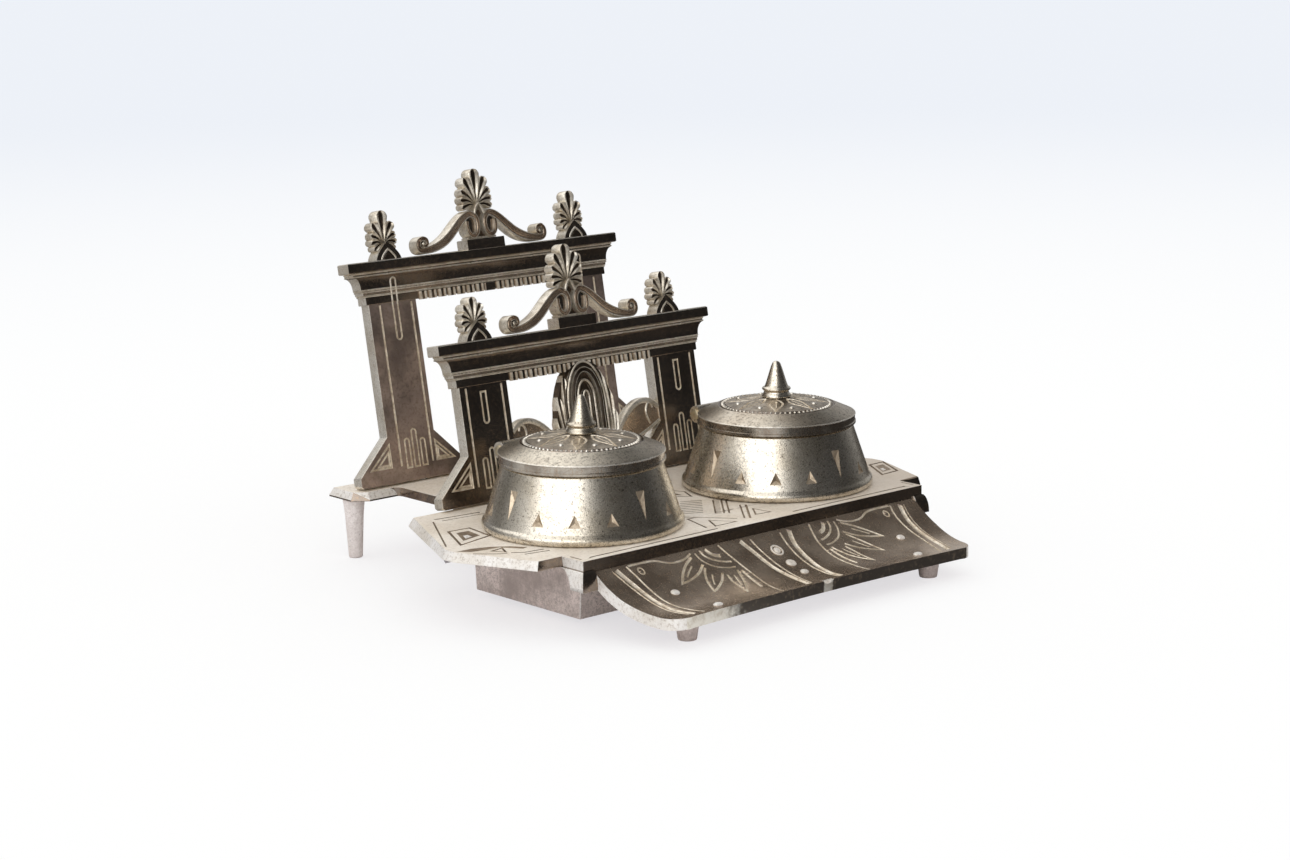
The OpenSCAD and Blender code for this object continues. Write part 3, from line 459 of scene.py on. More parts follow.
def arc_path(cx, cy, rx, ry, a0, a1, n):
    """Points of an elliptical arc, angles in degrees."""
    turns = [math.radians(a0 + (a1 - a0) * i / n) for i in range(n + 1)]
    return [(cx + rx * math.cos(turn), cy + ry * math.sin(turn)) for turn in turns]


def ring_path(cx, cy, rx, ry, n):
    """A closed ellipse, without its last point."""
    return arc_path(cx, cy, rx, ry, -180, 180, n)[:-1]


def curve_path(a, b, c, d):
    """Points of a cubic curve from a to d with handles b and c."""
    points = []
    for t in (i / 16 for i in range(17)):
        w = ((1 - t) ** 3, 3 * (1 - t) ** 2 * t, 3 * (1 - t) * t * t, t ** 3)
        points.append(tuple(sum(k * p[j] for k, p in zip(w, (a, b, c, d))) for j in (0, 1)))
    return points


def smooth_path(points, per_span=4):
    """A curve through the points, each (x, height, width)."""
    pts = [Vector(p) for p in points]
    out = []
    for i in range(len(pts) - 1):
        a, b, c, d = pts[max(i - 1, 0)], pts[i], pts[i + 1], pts[min(i + 2, len(pts) - 1)]
        for k in range(per_span):
            t = k / per_span
            out.append(0.5 * ((2 * b) + (c - a) * t + (2 * a - 5 * b + 4 * c - d) * t * t
                              + (3 * b - a - 3 * c + d) * t ** 3))
    out.append(pts[-1])
    return out


def smooth_line(points, per_span):
    """The same through flat points, each (x, y)."""
    return [(p.x, p.y) for p in smooth_path([(x, y, 0) for x, y in points], per_span)]


def hairpin(x, start, bend, r, end_angle):
    """An open loop of two straight sides from start to a half round about (x, bend)."""
    return [(x - r, start)] + arc_path(x, bend, r, r, 180, end_angle, 8) + [(x + r, start)]


def flip(points, side):
    return [(side * x, y) for x, y in points]


def lifted(points, up, side=1):
    """Points, or stations with a width, raised and put on one side."""
    return [(side * x, z + up, *rest) for x, z, *rest in points]


def mirrored(points):
    """The right-hand half and its mirror image, as one loop."""
    return points + [(-x, y) for x, y in reversed(points)]


def stations_of(points, width):
    """The points as (x, height, width), all of one width."""
    return [(x, z, width) for x, z in points]


def middle_of(points):
    return sum((Vector(p) for p in points), Vector((0, 0))) / len(points)


def shrunk(points, by):
    """The outline drawn in towards its middle."""
    middle = middle_of(points)
    return [tuple(middle + (Vector(p) - middle) * by) for p in points]


# ---- solids from rings of points ----

DOME_SINK = 0.3  # how far a boss reaches into the surface under it


def wall(bm, a, b, skin=0):
    """Faces between two closed rings; skin is an index or a function of the side's number."""
    for i in range(len(a)):
        j = (i + 1) % len(a)
        bm.faces.new((a[i], a[j], b[j], b[i])).material_index = skin(i) if callable(skin) else skin


def cap(bm, ring, skin=0):
    bm.faces.new(ring).material_index = skin


def fan(bm, ring, point, skin=0):
    for i in range(len(ring)):
        bm.faces.new((ring[i], ring[(i + 1) % len(ring)], point)).material_index = skin


def slab(bm, outline, near, far, skin=0, face_skin=None):
    """A flat-sided solid from an outline of (x, height); its near face may have its own skin."""
    a, b = ([bm.verts.new((x, depth, z)) for x, z in outline] for depth in (near, far))
    wall(bm, a, b, skin)
    cap(bm, a[::-1], skin if face_skin is None else face_skin)
    cap(bm, b, skin)


def plate(bm, outline, near, far, bevel):
    """A slab with bevelled edges."""
    near_face = bm.faces.new([bm.verts.new((x, near, z)) for x, z in outline])
    made = bmesh.ops.extrude_face_region(bm, geom=[near_face])
    moved = [v for v in made["geom"] if isinstance(v, bmesh.types.BMVert)]
    for v in moved:
        v.co.y = far
    faces = {f for v in moved for f in v.link_faces}
    verts = set(moved) | {v for f in faces for v in f.verts}
    edges = {e for v in verts for e in v.link_edges}
    bmesh.ops.bevel(
        bm, geom=list(edges), offset=bevel, segments=2, profile=0.6,
        affect="EDGES", clamp_overlap=True, material=-1)
    bmesh.ops.recalc_face_normals(bm, faces=bm.faces)


def turned(name, profile, materials, centre=(0, 0), steps=96, to_layout=flat_map, sharp=35):
    """A solid of revolution about an upright axis, from (radius, height) points."""
    bm = bmesh.new()
    rings = []
    for r, z in profile:
        if r == 0:
            rings.append([bm.verts.new((*centre, z))])
        else:
            turns = [2 * math.pi * i / steps for i in range(steps)]
            rings.append([bm.verts.new((centre[0] + r * math.cos(turn), centre[1] + r * math.sin(turn), z))
                          for turn in turns])
    for a, b in zip(rings, rings[1:]):
        for i in range(steps):
            j = (i + 1) % steps
            corners = [a[i % len(a)], a[j % len(a)], b[j % len(b)], b[i % len(b)]]
            corners = list(dict.fromkeys(corners))
            if len(corners) > 2:
                bm.faces.new(corners)
    return finish_mesh(bm, name, materials, to_layout, sharp)


def dome(bm, radii, height, steps, rings, place=flat_map):
    """A low round boss about the origin, put on a surface by place."""
    turns = [2 * math.pi * i / steps for i in range(steps)]
    rises = [math.pi / 2 * k / rings for k in range(rings)]
    levels = [(1.0, -DOME_SINK)] + [(math.cos(rise), height * math.sin(rise)) for rise in rises]
    layers = [[bm.verts.new(place((radii[0] * size * math.cos(turn), radii[1] * size * math.sin(turn), z)))
               for turn in turns] for size, z in levels]
    for a, b in zip(layers, layers[1:]):
        wall(bm, a, b)
    fan(bm, layers[-1], bm.verts.new(place((0, 0, height))))
    cap(bm, layers[0][::-1])


# ---- relief: strips and pockets laid on a surface ----

ABOVE = 0.4  # how far a cutter stands over the surface that it cuts
CUT_WELD = 0.00001


def groove_profile(width, depth):
    """Cross-section of a cutter with a rounded bottom, as (across, out) points."""
    half = width / 2
    shape = [(-half, ABOVE), (-half, -depth * 0.25), (-half * 0.6, -depth * 0.85)]
    return shape + [(0, -depth)] + [(-x, y) for x, y in reversed(shape)]


def bead_profile(width, height, sink):
    """Cross-section of a raised half-round, as (across, out) points."""
    half = width / 2
    arch = arc_path(0, 0, half, height, 180, 0, 4)
    return [(-half, -sink)] + arch + [(half, -sink)]


def across(path, i, closed):
    """Unit vector across the path at point i, stretched at corners so that the width stays."""
    n = len(path)
    here = Vector(path[i])
    before = Vector(path[i - 1]) if i > 0 or closed else None
    after = Vector(path[(i + 1) % n]) if i < n - 1 or closed else None
    sides = []
    for a, b in ((before, here), (here, after)):
        if a is not None and b is not None and (b - a).length > 1e-9:
            d = (b - a).normalized()
            sides.append(Vector((-d.y, d.x)))
    if len(sides) == 1:
        return sides[0]
    middle = sides[0] + sides[1]
    if middle.length < 0.2:
        return sides[0]
    middle.normalize()
    return middle / max(0.45, middle.dot(sides[0]))


def strip(bm, path, profile, surface, closed=False, taper=None, skin=0):
    """Sweeps a closed cross-section along a path drawn on a surface."""
    path = [Vector(p) for p in path]
    n, rings = len(path), []
    for i, p in enumerate(path):
        side = across(path, i, closed)
        size = taper(i / (n - 1)) if taper else 1
        flatter = min(1, size * 1.4)
        rings.append([
            bm.verts.new(surface((p.x + side.x * s * size, p.y + side.y * s * size, h * flatter)))
            for s, h in profile
        ])
    for a, b in zip(rings, rings[1:]):
        wall(bm, a, b, skin)
    if closed:
        wall(bm, rings[-1], rings[0], skin)
    else:
        cap(bm, rings[0][::-1], skin)
        cap(bm, rings[-1], skin)


def pocket(bm, outline, surface, depth, shrink, skin):
    """A closed cutter whose floor is the outline drawn in, or one point where shrink is 0."""
    top, rim = ([bm.verts.new(surface((x, y, out))) for x, y in outline] for out in (ABOVE, 0))
    floor = [bm.verts.new(surface((x, y, -depth))) for x, y in shrunk(outline, shrink)] if shrink else None
    wall(bm, top, rim, skin)
    if floor:
        wall(bm, rim, floor, skin)
        cap(bm, top[::-1], skin)
        cap(bm, floor, skin)
    else:
        cap(bm, top[::-1], skin)
        fan(bm, rim, bm.verts.new(surface((*middle_of(outline), -depth))), skin)


def groove(path, width, depth, closed=False, taper=None):
    """A shape for cutter()."""
    return lambda bm, surface, skin: strip(
        bm, path, groove_profile(width, depth), surface, closed, taper, skin)


def hollow(outline, depth, shrink=0.0):
    """A shape for cutter()."""
    return lambda bm, surface, skin: pocket(bm, outline, surface, depth, shrink, skin)


def cutter(shape, surface, materials, skin=1):
    bm = bmesh.new()
    shape(bm, surface, skin)
    return finish_mesh(bm, "cutter", materials, weld=CUT_WELD)


def on_both_sides(shapes, surface, materials):
    """Cutters for drawn shapes and for their mirror images."""
    return [cutter(shape, side, materials) for shape in shapes for side in (surface, opposite(surface))]


# Fronts of swept ornament: (across from -1 to 1, depth from 0 at the front to 1, which of two skins)
BAND_HALF = [
    (-1.0, 0.4, 0), (-0.92, 0.0, 0), (-0.7, 0.05, 0), (-0.56, 0.85, 1), (-0.32, 1.0, 1), (-0.12, 0.6, 1),
]
LEAF_HALF = [(-1.0, 1.0, 1), (-0.8, 0.5, 0), (-0.45, 0.12, 0)]
LOBE_HALF = [(-1.0, 0.3, 0), (-0.86, 0.0, 0), (-0.66, 0.12, 0), (-0.4, 0.7, 0)]


def whole_section(half, ridge):
    return half + [ridge] + [(-s, d, skin) for s, d, skin in reversed(half)]


BAND = whole_section(BAND_HALF, (0.0, 0.5, 1))
LEAF = whole_section(LEAF_HALF, (0.0, 0.0, 0))
LOBE = whole_section(LOBE_HALF, (0.0, 1.0, 1))


def swept_relief(bm, stations, section, front, back, relief, skins=(0, 1)):
    """Sweeps a moulded front along (x, height, width) stations, solid back to a flat rear face."""
    path = [(p[0], p[1]) for p in stations]
    rings = []
    for i, (x, z, width) in enumerate(stations):
        side = across(path, i, False) * width / 2
        near = front(i / (len(stations) - 1)) if callable(front) else front
        edge = [(s, near + d * relief) for s, d, _ in section] + [(1, back), (-1, back)]
        rings.append([bm.verts.new((x + side.x * s, depth, z + side.y * s)) for s, depth in edge])

    def skin_of(j):
        return skins[1] if j < len(section) - 1 and (section[j][2] or section[j + 1][2]) else skins[0]

    for a, b in zip(rings, rings[1:]):
        wall(bm, a, b, skin_of)
    cap(bm, rings[0][::-1], skins[0])
    cap(bm, rings[-1], skins[0])


# ---- Geometry Nodes: one tree repeats a small shape in rows and rings ----


def make_repeat_tree():
    """Copies of a shape, each a step and a turn on from the last, as one real mesh."""
    tree = bpy.data.node_groups.new("repeat_shape", "GeometryNodeTree")
    tree.is_modifier = True
    kinds = (("Geometry", "Geometry"), ("Shape", "Object"), ("Copies", "Int"), ("Start", "Vector"),
             ("Step", "Vector"), ("First turn", "Float"), ("Turn step", "Float"), ("Finish", "Material"))
    for title, kind in kinds:
        tree.interface.new_socket(title, in_out="INPUT", socket_type="NodeSocket" + kind)
    tree.interface.new_socket("Geometry", in_out="OUTPUT", socket_type="NodeSocketGeometry")
    add, join = tree.nodes.new, tree.links.new
    given, result = add("NodeGroupInput"), add("NodeGroupOutput")
    line = add("GeometryNodeMeshLine")
    line.mode = "OFFSET"
    join(given.outputs["Copies"], line.inputs["Count"])
    join(given.outputs["Start"], line.inputs["Start Location"])
    join(given.outputs["Step"], line.inputs["Offset"])
    turn = add("ShaderNodeMath")
    turn.operation = "MULTIPLY_ADD"
    join(add("GeometryNodeInputIndex").outputs[0], turn.inputs[0])
    join(given.outputs["Turn step"], turn.inputs[1])
    join(given.outputs["First turn"], turn.inputs[2])
    upright = add("ShaderNodeCombineXYZ")
    join(turn.outputs[0], upright.inputs["Z"])
    shape = add("GeometryNodeObjectInfo")
    join(given.outputs["Shape"], shape.inputs["Object"])
    place = add("GeometryNodeInstanceOnPoints")
    join(line.outputs["Mesh"], place.inputs["Points"])
    join(shape.outputs["Geometry"], place.inputs["Instance"])
    join(upright.outputs[0], place.inputs["Rotation"])
    real = add("GeometryNodeRealizeInstances")
    join(place.outputs[0], real.inputs[0])
    finish = add("GeometryNodeSetMaterial")
    join(real.outputs[0], finish.inputs["Geometry"])
    join(given.outputs["Finish"], finish.inputs["Material"])
    join(finish.outputs[0], result.inputs[0])
    return tree


REPEAT = make_repeat_tree()


def repeated(name, shape, copies, finish, start=(0, 0, 0), step=(0, 0, 0), first_turn=0.0, turn=0.0):
    """Runs the tree and uses up the shape; start and step in millimetres, turns in degrees."""
    obj = new_object(name, bpy.data.meshes.new(name))
    values = {
        "Shape": shape, "Copies": copies, "Finish": finish,
        "Start": [v / 1000 for v in start], "Step": [v / 1000 for v in step],
        "First turn": math.radians(first_turn), "Turn step": math.radians(turn),
    }
    tool = obj.modifiers.new("repeat", "NODES")
    tool.node_group = REPEAT
    for item in REPEAT.interface.items_tree:
        if item.in_out == "INPUT" and item.name in values:
            tool[item.identifier] = values[item.name]
    bake_modifiers(obj)
    shade(obj.data)
    remove(shape)
    return obj


def repeated_cutter(shape, copies, skins, **places):
    """A repeated shape as a cutter that leaves the second of the given skins."""
    obj = repeated("cutters", shape, copies, skins[1], **places)
    obj.data.materials.clear()
    for material in skins:
        obj.data.materials.append(material)
    for face in obj.data.polygons:
        face.material_index = 1
    return obj


# ---- letter racks ----

PILASTER_OUT, PILASTER_IN = 63.0, 39.0
STRUT_H, STRUT_W = 14.0, 14.0
BAR_HALF_W = 78.6
FRIEZE_H, BAND_H, COVE_H, FILLET_H, CORNICE_H = 3.9, 2.4, 5.7, 1.5, 4.2
CORNICE_HALF_W, CORNICE_OUT = 71.9, 2.0
FACE, LINE, EDGE, BETWEEN = range(4)  # skins of a rack
LOOP_X, LOOP_R, LOOP_TOP = 49.8, 1.25, 83.0
FINGER_X, FINGER_R = 3.956, 1.15


def rack_outline(low):
    """The frame under the beam."""
    return mirrored([
        (BAR_HALF_W - 1, 0), (BAR_HALF_W, 1), (BAR_HALF_W, FOOT_BAR_H - 1), (BAR_HALF_W - 1, FOOT_BAR_H),
        (PILASTER_OUT, FOOT_BAR_H + STRUT_H), (PILASTER_OUT, low + 1), (PILASTER_IN, low + 1),
        (PILASTER_IN, FOOT_BAR_H + STRUT_H), (PILASTER_IN - STRUT_W, FOOT_BAR_H),
    ])


def moulding_levels(low):
    """Levels of the beam from the bottom up: (height, front, half-width, skin)."""
    levels = [
        (low, 0.0, 64.0, FACE), (low + 0.25, 0.25, 64.2, FACE), (low + FRIEZE_H - 1.0, 0.25, 64.2, FACE),
    ]

    def bead(z, size, front, half):
        for turn in (-90, -50, 0, 50, 90):
            out, up = polar(1, turn)
            grow = size * 0.55 * out
            levels.append((z + size * (1 + up) / 2, front + grow, half + grow, LINE))

    band = low + FRIEZE_H
    cove = band + BAND_H
    fillet = cove + COVE_H
    cornice = fillet + FILLET_H
    top = cornice + CORNICE_H
    bead(band - 0.7, 0.6, 0.2, 64.5)
    levels.extend([(band + 0.1, 0.4, 65.2, BETWEEN), (cove - 1.3, 0.4, 65.3, BETWEEN)])
    bead(cove - 1.25, 0.5, 0.4, 65.5)
    levels.append((cove - 0.7, 0.35, 65.5, BETWEEN))
    bead(cove - 0.5, 0.45, 0.5, 65.8)
    for turn in range(0, 91, 10):
        out, up = polar(1, turn)
        levels.append((cove + 0.15 + (COVE_H - 0.5) * up, 1.45 - 1.0 * out, 69.3 - 3.3 * out, FACE))
    bead(fillet - 0.3, 0.55, 1.0, 69.2)
    levels.extend([(fillet + 0.3, 0.85, 69.2, BETWEEN), (cornice - 0.75, 0.85, 69.3, BETWEEN)])
    bead(cornice - 0.7, 0.5, 0.9, 69.4)
    levels.extend([
        (cornice - 0.15, 1.0, 69.6, LINE), (cornice, CORNICE_OUT - 0.35, CORNICE_HALF_W - 0.35, FACE),
        (cornice + 0.35, CORNICE_OUT, CORNICE_HALF_W, FACE), (top - 0.4, CORNICE_OUT, CORNICE_HALF_W, FACE),
        (top, CORNICE_OUT - 0.4, CORNICE_HALF_W - 0.4, EDGE),
    ])
    return levels


def beam(bm, low):
    """Front and both ends turn the same mouldings; the back is plain."""
    levels = moulding_levels(low)
    rings = []
    for z, front, half, _ in levels:
        corners = ((-half, RACK_T), (-half, -front), (half, -front), (half, RACK_T))
        rings.append([bm.verts.new((x, y, z)) for x, y in corners])
    back = 3
    for a, b, (_, _, _, skin) in zip(rings, rings[1:], levels):
        wall(bm, a, b, lambda side: EDGE if side == back else skin)
    cap(bm, rings[0][::-1], EDGE)
    cap(bm, rings[-1], EDGE)


def front_at(levels, z):
    """How far the mouldings stand out at one height."""
    for (z0, f0, _, _), (z1, f1, _, _) in zip(levels, levels[1:]):
        if z0 <= z <= z1:
            return f0 + (f1 - f0) * (z - z0) / max(z1 - z0, 1e-6)
    return 0.0


def loops_over_mouldings(bm, low):
    """The rear rack's long loops carry on over the mouldings of the beam."""
    levels = moulding_levels(low)
    start, steps = low - 1.0, 40

    def surface(p):
        return p[0], -(front_at(levels, p[1]) + p[2]), p[1]

    for side in SIDES:
        x = side * LOOP_X
        up = [(x - LOOP_R, start + i * (LOOP_TOP - start) / steps) for i in range(steps + 1)]
        bend = arc_path(x, LOOP_TOP, LOOP_R, LOOP_R, 180, 0, 8)[1:]
        down = [(x + LOOP_R, z) for _, z in reversed(up[:-1])]
        strip(bm, up + bend + down, bead_profile(0.75, 0.3, 0.5), surface, skin=LINE)


def rack_grooves(height, rear):
    """Grooves in the front face of the pilasters and struts."""
    low, foot = height - ENTABLATURE_H, FOOT_BAR_H
    outer, inner = (57.6, 41.6) if rear else (59.9, 42.0)
    middle = (outer + inner) / 2
    half = []
    for x in (outer, inner):
        half.append(([(x, foot + 1.2), (x, low - 0.6)], 0.95, 0.5, False))
    # finger-shaped loops on the foot and the loop under the beam
    for dx, tall in ((-FINGER_X, 16.8), (0, 21.2), (FINGER_X, 17.6)):
        half.append((hairpin(middle + dx, foot + 0.2, tall - FINGER_R, FINGER_R, 0), 0.75, 0.45, True))
    if rear:
        half.append((hairpin(LOOP_X, low - 0.8, 58.6 + LOOP_R, LOOP_R, 360), 0.8, 0.5, False))
    else:
        half.append((hairpin(middle + 0.6, 43.8, 31.2 + LOOP_R, LOOP_R, 360), 0.8, 0.5, True))
    # nested triangles in the struts
    for out, edge, reach in ((1, PILASTER_OUT, BAR_HALF_W - PILASTER_OUT), (-1, PILASTER_IN, STRUT_W)):
        for inset in (0.18, 0.46):
            size = (reach - 2.6) * (1 - inset * 1.25)
            start = edge - out * 0.9 + out * inset * 3.2
            base = foot + 0.9 + inset * 3.4
            triangle = [(start, base), (start + out * size, base), (start, base + size * 0.92)]
            half.append((triangle, 0.95, 0.45, True))
    return [groove(flip(path, side), width, depth, closed)
            for side in SIDES for path, width, depth, closed in half]


def bar(bm, half_w, low, high, out, back, bevel, x=0.0):
    """A straight block across a rack's face."""
    outline = [(x - half_w, low), (x + half_w, low), (x + half_w, high), (x - half_w, high)]
    plate(bm, outline, -out, back, bevel)


def build_teeth(name, to_layout, low):
    """Rows of teeth under the beam on both sides of its plain middle: a dark face, painted reflection,
    between pale rims, painted highlight.
    """
    rows = (("faces", 0.0, 1.55, 0.75, FACE_PLATE), ("left_rims", -1.225, 0.475, 1.1, GROOVE_SKIN),
            ("right_rims", 1.225, 0.475, 1.1, GROOVE_SKIN))
    for title, x, half_w, out, skin in rows:
        halves = []
        for side in SIDES:
            bm = bmesh.new()
            bar(bm, half_w, low - 0.4, low + 3.0, out, 0.6, 0.22, x)
            tooth = finish_mesh(bm, "tooth", [skin], to_layout)
            halves.append(repeated("row", tooth, 7, skin, (side * 5.5, 0, 0), (side * 5.0, 0, 0)))
        hand_over(join_pieces(name + "_tooth_" + title, halves), "stand", "cast_relief")


def build_rack(name, node, foot_y, height, rear):
    low = height - ENTABLATURE_H
    to_layout = rack_map(foot_y)
    skins = [REAR_FACE_PLATE if rear else FACE_PLATE, GROOVE_SKIN, EDGE_PLATE, TRAY_PLATE]
    beam_face = FACE
    if rear:
        beam_face = len(skins)
        skins.append(FACE_PLATE)
    bm = bmesh.new()
    plate(bm, rack_outline(low), 0, RACK_T, 0.4)
    # painted light: the front face gets the dark copy as painted reflection, every other face the pale edge
    # copy as painted highlight
    for face in bm.faces:
        face.material_index = FACE if face.normal.y < -0.9 else EDGE
    lower = finish_mesh(bm, name, skins, to_layout)
    cut(lower, [cutter(shape, face_map(to_layout), skins) for shape in rack_grooves(height, rear)])
    bm = bmesh.new()
    beam(bm, low)
    plate(bm, [(10, height - 0.3), (10, height + 4.1), (-10, height + 4.1), (-10, height - 0.3)],
          -CORNICE_OUT, RACK_T - 0.05, 0.3)
    bar(bm, 2.5, low - 0.4, low + 3.0, 0.95, 0.6, 0.3)
    if rear:
        loops_over_mouldings(bm, low)
    upper = finish_mesh(bm, name + "_beam", skins, to_layout)
    # painted highlight: the beam's ends and top in the pale edge copy; its front keeps the dark copy,
    # painted reflection
    for face in upper.data.polygons:
        if abs(face.normal.x) > 0.5 or face.normal.z > 0.6:
            face.material_index = EDGE
        elif face.material_index == FACE:
            face.material_index = beam_face
    made = join_pieces(name, [lower, upper])
    steady_normals(made)
    hand_over(made, "stand", "cast_relief", node)
    build_teeth(name, to_layout, low)


build_rack("front_letter_rack", "front_rack", FRONT_RACK_Y, FRONT_RACK_H, False)
build_rack("rear_letter_rack", "rear_rack", REAR_RACK_Y, REAR_RACK_H, True)


# ---- crests, side ornaments and the fan ----

LOBES = 9


def leaf(bm, root, handle, tip):
    """A blade of the fan: it widens from its root and ends round."""
    front, back, relief, root_w, tip_w = -1.15, 3.6, 1.1, 1.1, 3.5

    def ending(t):
        return max(0, (t - 0.8) / 0.2)

    def near(t):
        arched = 1 - math.sin(math.pi * min(1, 0.15 + t * 0.75))
        return front + 0.9 * relief * arched + 0.8 * relief * ending(t) ** 2

    stations = []
    for t in (i / 9 for i in range(10)):
        x, z = ((1 - t) ** 2 * a + 2 * (1 - t) * t * b + t ** 2 * c for a, b, c in zip(root, handle, tip))
        width = root_w + (tip_w - root_w) * t ** 0.8
        stations.append((x, z, width * math.sqrt(max(0.04, 1 - ending(t) ** 2 * 0.93))))
    swept_relief(bm, stations, LOBE, near, back, relief)


def palmette(bm, x, root, width, reach_up, reach_down, spread, front):
    """A shell of round-ended, hollowed lobes side by side, spreading from one root."""
    gap = math.radians(2 * spread / (LOBES - 1))
    grow = math.tan(gap / 2) * 1.03
    for k in range(LOBES):
        turn = math.radians(-spread) + gap * k
        across_x, up = math.sin(turn), math.cos(turn)
        reach = 1 / math.hypot(across_x * 2 / width, up / (reach_up if up > 0 else reach_down))
        half = reach * grow / (1 + grow)
        straight = [0.5 + (reach - half - 0.5) * i / 8 for i in range(9)]
        run = [(d, 2 * d * grow) for d in straight]
        for degrees in range(15, 91, 15):
            wide, far = polar(half, degrees)
            run.append((reach - half + far, 2.1 * max(0.05 * half, wide)))
        bend = 0.9 * abs(across_x)
        stations = []
        for d, w in run:
            stations.append((x + d * across_x, root + d * up + bend * math.sin(math.pi * d / reach), w))
        out = abs(2 * k / (LOBES - 1) - 1)

        def near(t):
            return front + 0.5 * out + 0.9 * max(0.0, 0.35 - t) / 0.35 + 0.5 * max(0.0, t - 0.85) / 0.15

        swept_relief(bm, stations, LOBE, near, RACK_T, 1.15)


def crest_arm(bm, side, base):
    """The band from the volute's eye over its top, down the arm and into the end curl."""
    run = [
        (7.5, 11.9, 1.4), (7.6, 9.6, 1.7), (6.9, 6.9, 2.0), (4.8, 5.5, 2.2), (2.7, 6.9, 2.4),
        (1.85, 9.9, 2.5), (2.4, 13.0, 2.7), (4.6, 14.9, 3.1), (7.4, 14.3, 3.5), (10.4, 12.3, 3.9),
        (13.8, 9.3, 4.2), (17.2, 6.4, 4.3), (20.8, 4.2, 4.3), (24.6, 2.75, 4.0), (28.2, 2.0, 3.5),
    ]
    for turn, r, width in ((-70, 2.75, 3.0), (-25, 2.75, 2.7), (25, 2.65, 2.4), (75, 2.5, 2.1),
                           (125, 2.2, 1.9), (175, 1.7, 1.6), (235, 1.1, 1.3), (300, 0.6, 1.0)):
        x, z = polar(r, turn)
        run.append((31.2 + x, 4.45 + z, width))

    def near(t):
        raised = -0.5 if t > 0.8 or t < 0.3 else 0.0
        return -0.2 + 0.3 * math.sin(math.pi * t) + raised * min(1, abs(t - 0.55) * 4)

    stations = [(x, z, 0.92 * width) for x, z, width in lifted(smooth_path(run), base, side)]
    swept_relief(bm, stations, BAND, near, RACK_T - 0.2, 0.8, (0, 3))


def build_crest(name, node, foot_y, height):
    skins = [ORNAMENT, SHADE_SKIN, GROOVE_SKIN, TRAY_PLATE, FACE_PLATE]
    bm = bmesh.new()
    for side in SIDES:
        crest_arm(bm, side, height)
        # painted shade: the volute's eye is faced with the dark copy
        slab(bm, ring_path(side * 4.8, height + 9.8, 2.4, 4.6, 16), 0.8, RACK_T - 0.1, 0, 4)
        curl_tip = [(31.2, 4.0, 0.9), (31.25, 4.7, 1.5), (31.1, 5.3, 0.8)]
        swept_relief(bm, smooth_path(lifted(curl_tip, height, side)), LEAF, -0.4, RACK_T - 0.3, 0.8)
    backing = [(-6.8, 4.0), (6.8, 4.0), (5.8, 14.6), (0, 16.6), (-5.8, 14.6)]
    slab(bm, lifted(backing, height), 1.9, RACK_T - 0.15, 0, 1)
    ledge = [(-7.3, 4.2), (7.3, 4.2), (7.3, 5.0), (-7.3, 5.0)]
    slab(bm, lifted(ledge, height), 0.1, RACK_T - 0.1)
    palmette(bm, 0, height + 18.5, 16.6, 15.35, 3.4, 98, 0.2)
    # the little pointed arch that the shell grows from
    for side in SIDES:
        root_leaf = [(0, 19.3, 0.7), (1.1, 17.9, 1.2), (2.0, 16.2, 1.3), (2.5, 14.6, 1.0)]
        swept_relief(bm, smooth_path(lifted(root_leaf, height, side)), LEAF, -0.35, RACK_T, 0.6, (0, 0))
    made = finish_mesh(bm, name, skins, rack_map(foot_y), sharp=50)
    hand_over(made, "stand", "cast_relief", node)


def pointed_arch(x, base, half, rise, n):
    """From the right foot over the point to the left foot."""
    run = [(half * (1 - (i / n) ** 1.6), base + rise * i / n) for i in range(n + 1)]
    return [(x + dx, z) for dx, z in run + flip(run[-2::-1], -1)]


def build_side_ornaments(name, node, foot_y, height, tall):
    """The pair over the pilasters: a pointed arch with a shell of lobes rising behind it."""
    skins = [ORNAMENT, SHADE_SKIN, FACE_PLATE]
    half, rise = 6.3, 7.4
    bm = bmesh.new()
    for x in (side * 50.3 for side in SIDES):
        root = height + 6.6
        palmette(bm, x, root, 12.6, height + tall - root, 4.6, 116, 0.3)
        # painted reflection: the arch's front is faced with the dark copy
        slab(bm, pointed_arch(x, height - 0.2, half, rise + 0.2, 8), -0.9, RACK_T - 0.1, 0, 2)
        slab(bm, pointed_arch(x, height - 0.2, half * 0.42, rise * 0.42 + 0.2, 8), -1.0, 0, 0, 1)
        rim = pointed_arch(x, height + 0.1, half * 0.56, rise * 0.56, 6)
        swept_relief(bm, stations_of(rim, 1.0), LEAF, -1.2, 0.5, 0.5, (0, 0))
    made = finish_mesh(bm, name, skins, rack_map(foot_y), sharp=50)
    hand_over(made, "stand", "cast_relief", node)


FAN_LOW = FRONT_RACK_H - ENTABLATURE_H
FAN_TOP = FAN_LOW + 3.2
FAN_WAIST_Z, FAN_HALF_W = 22, 16


def fan_edge(z, grow=0.0):
    """The fan's half-width at one height: slanting up to its waist, then an arch."""
    if z <= FAN_WAIST_Z:
        return 12.8 + 3.2 * max(0, z - FOOT_BAR_H) / 16.6 + grow
    lift = min(1, (z - FAN_WAIST_Z) / (FAN_TOP - FAN_WAIST_Z + grow))
    return (FAN_HALF_W + grow) * max(0.0, 1 - lift * lift) ** 0.42


def fan_body(bm, levels, near, far):
    slab(bm, mirrored([(fan_edge(z, -0.5), z) for z in levels]), near, far, 1)


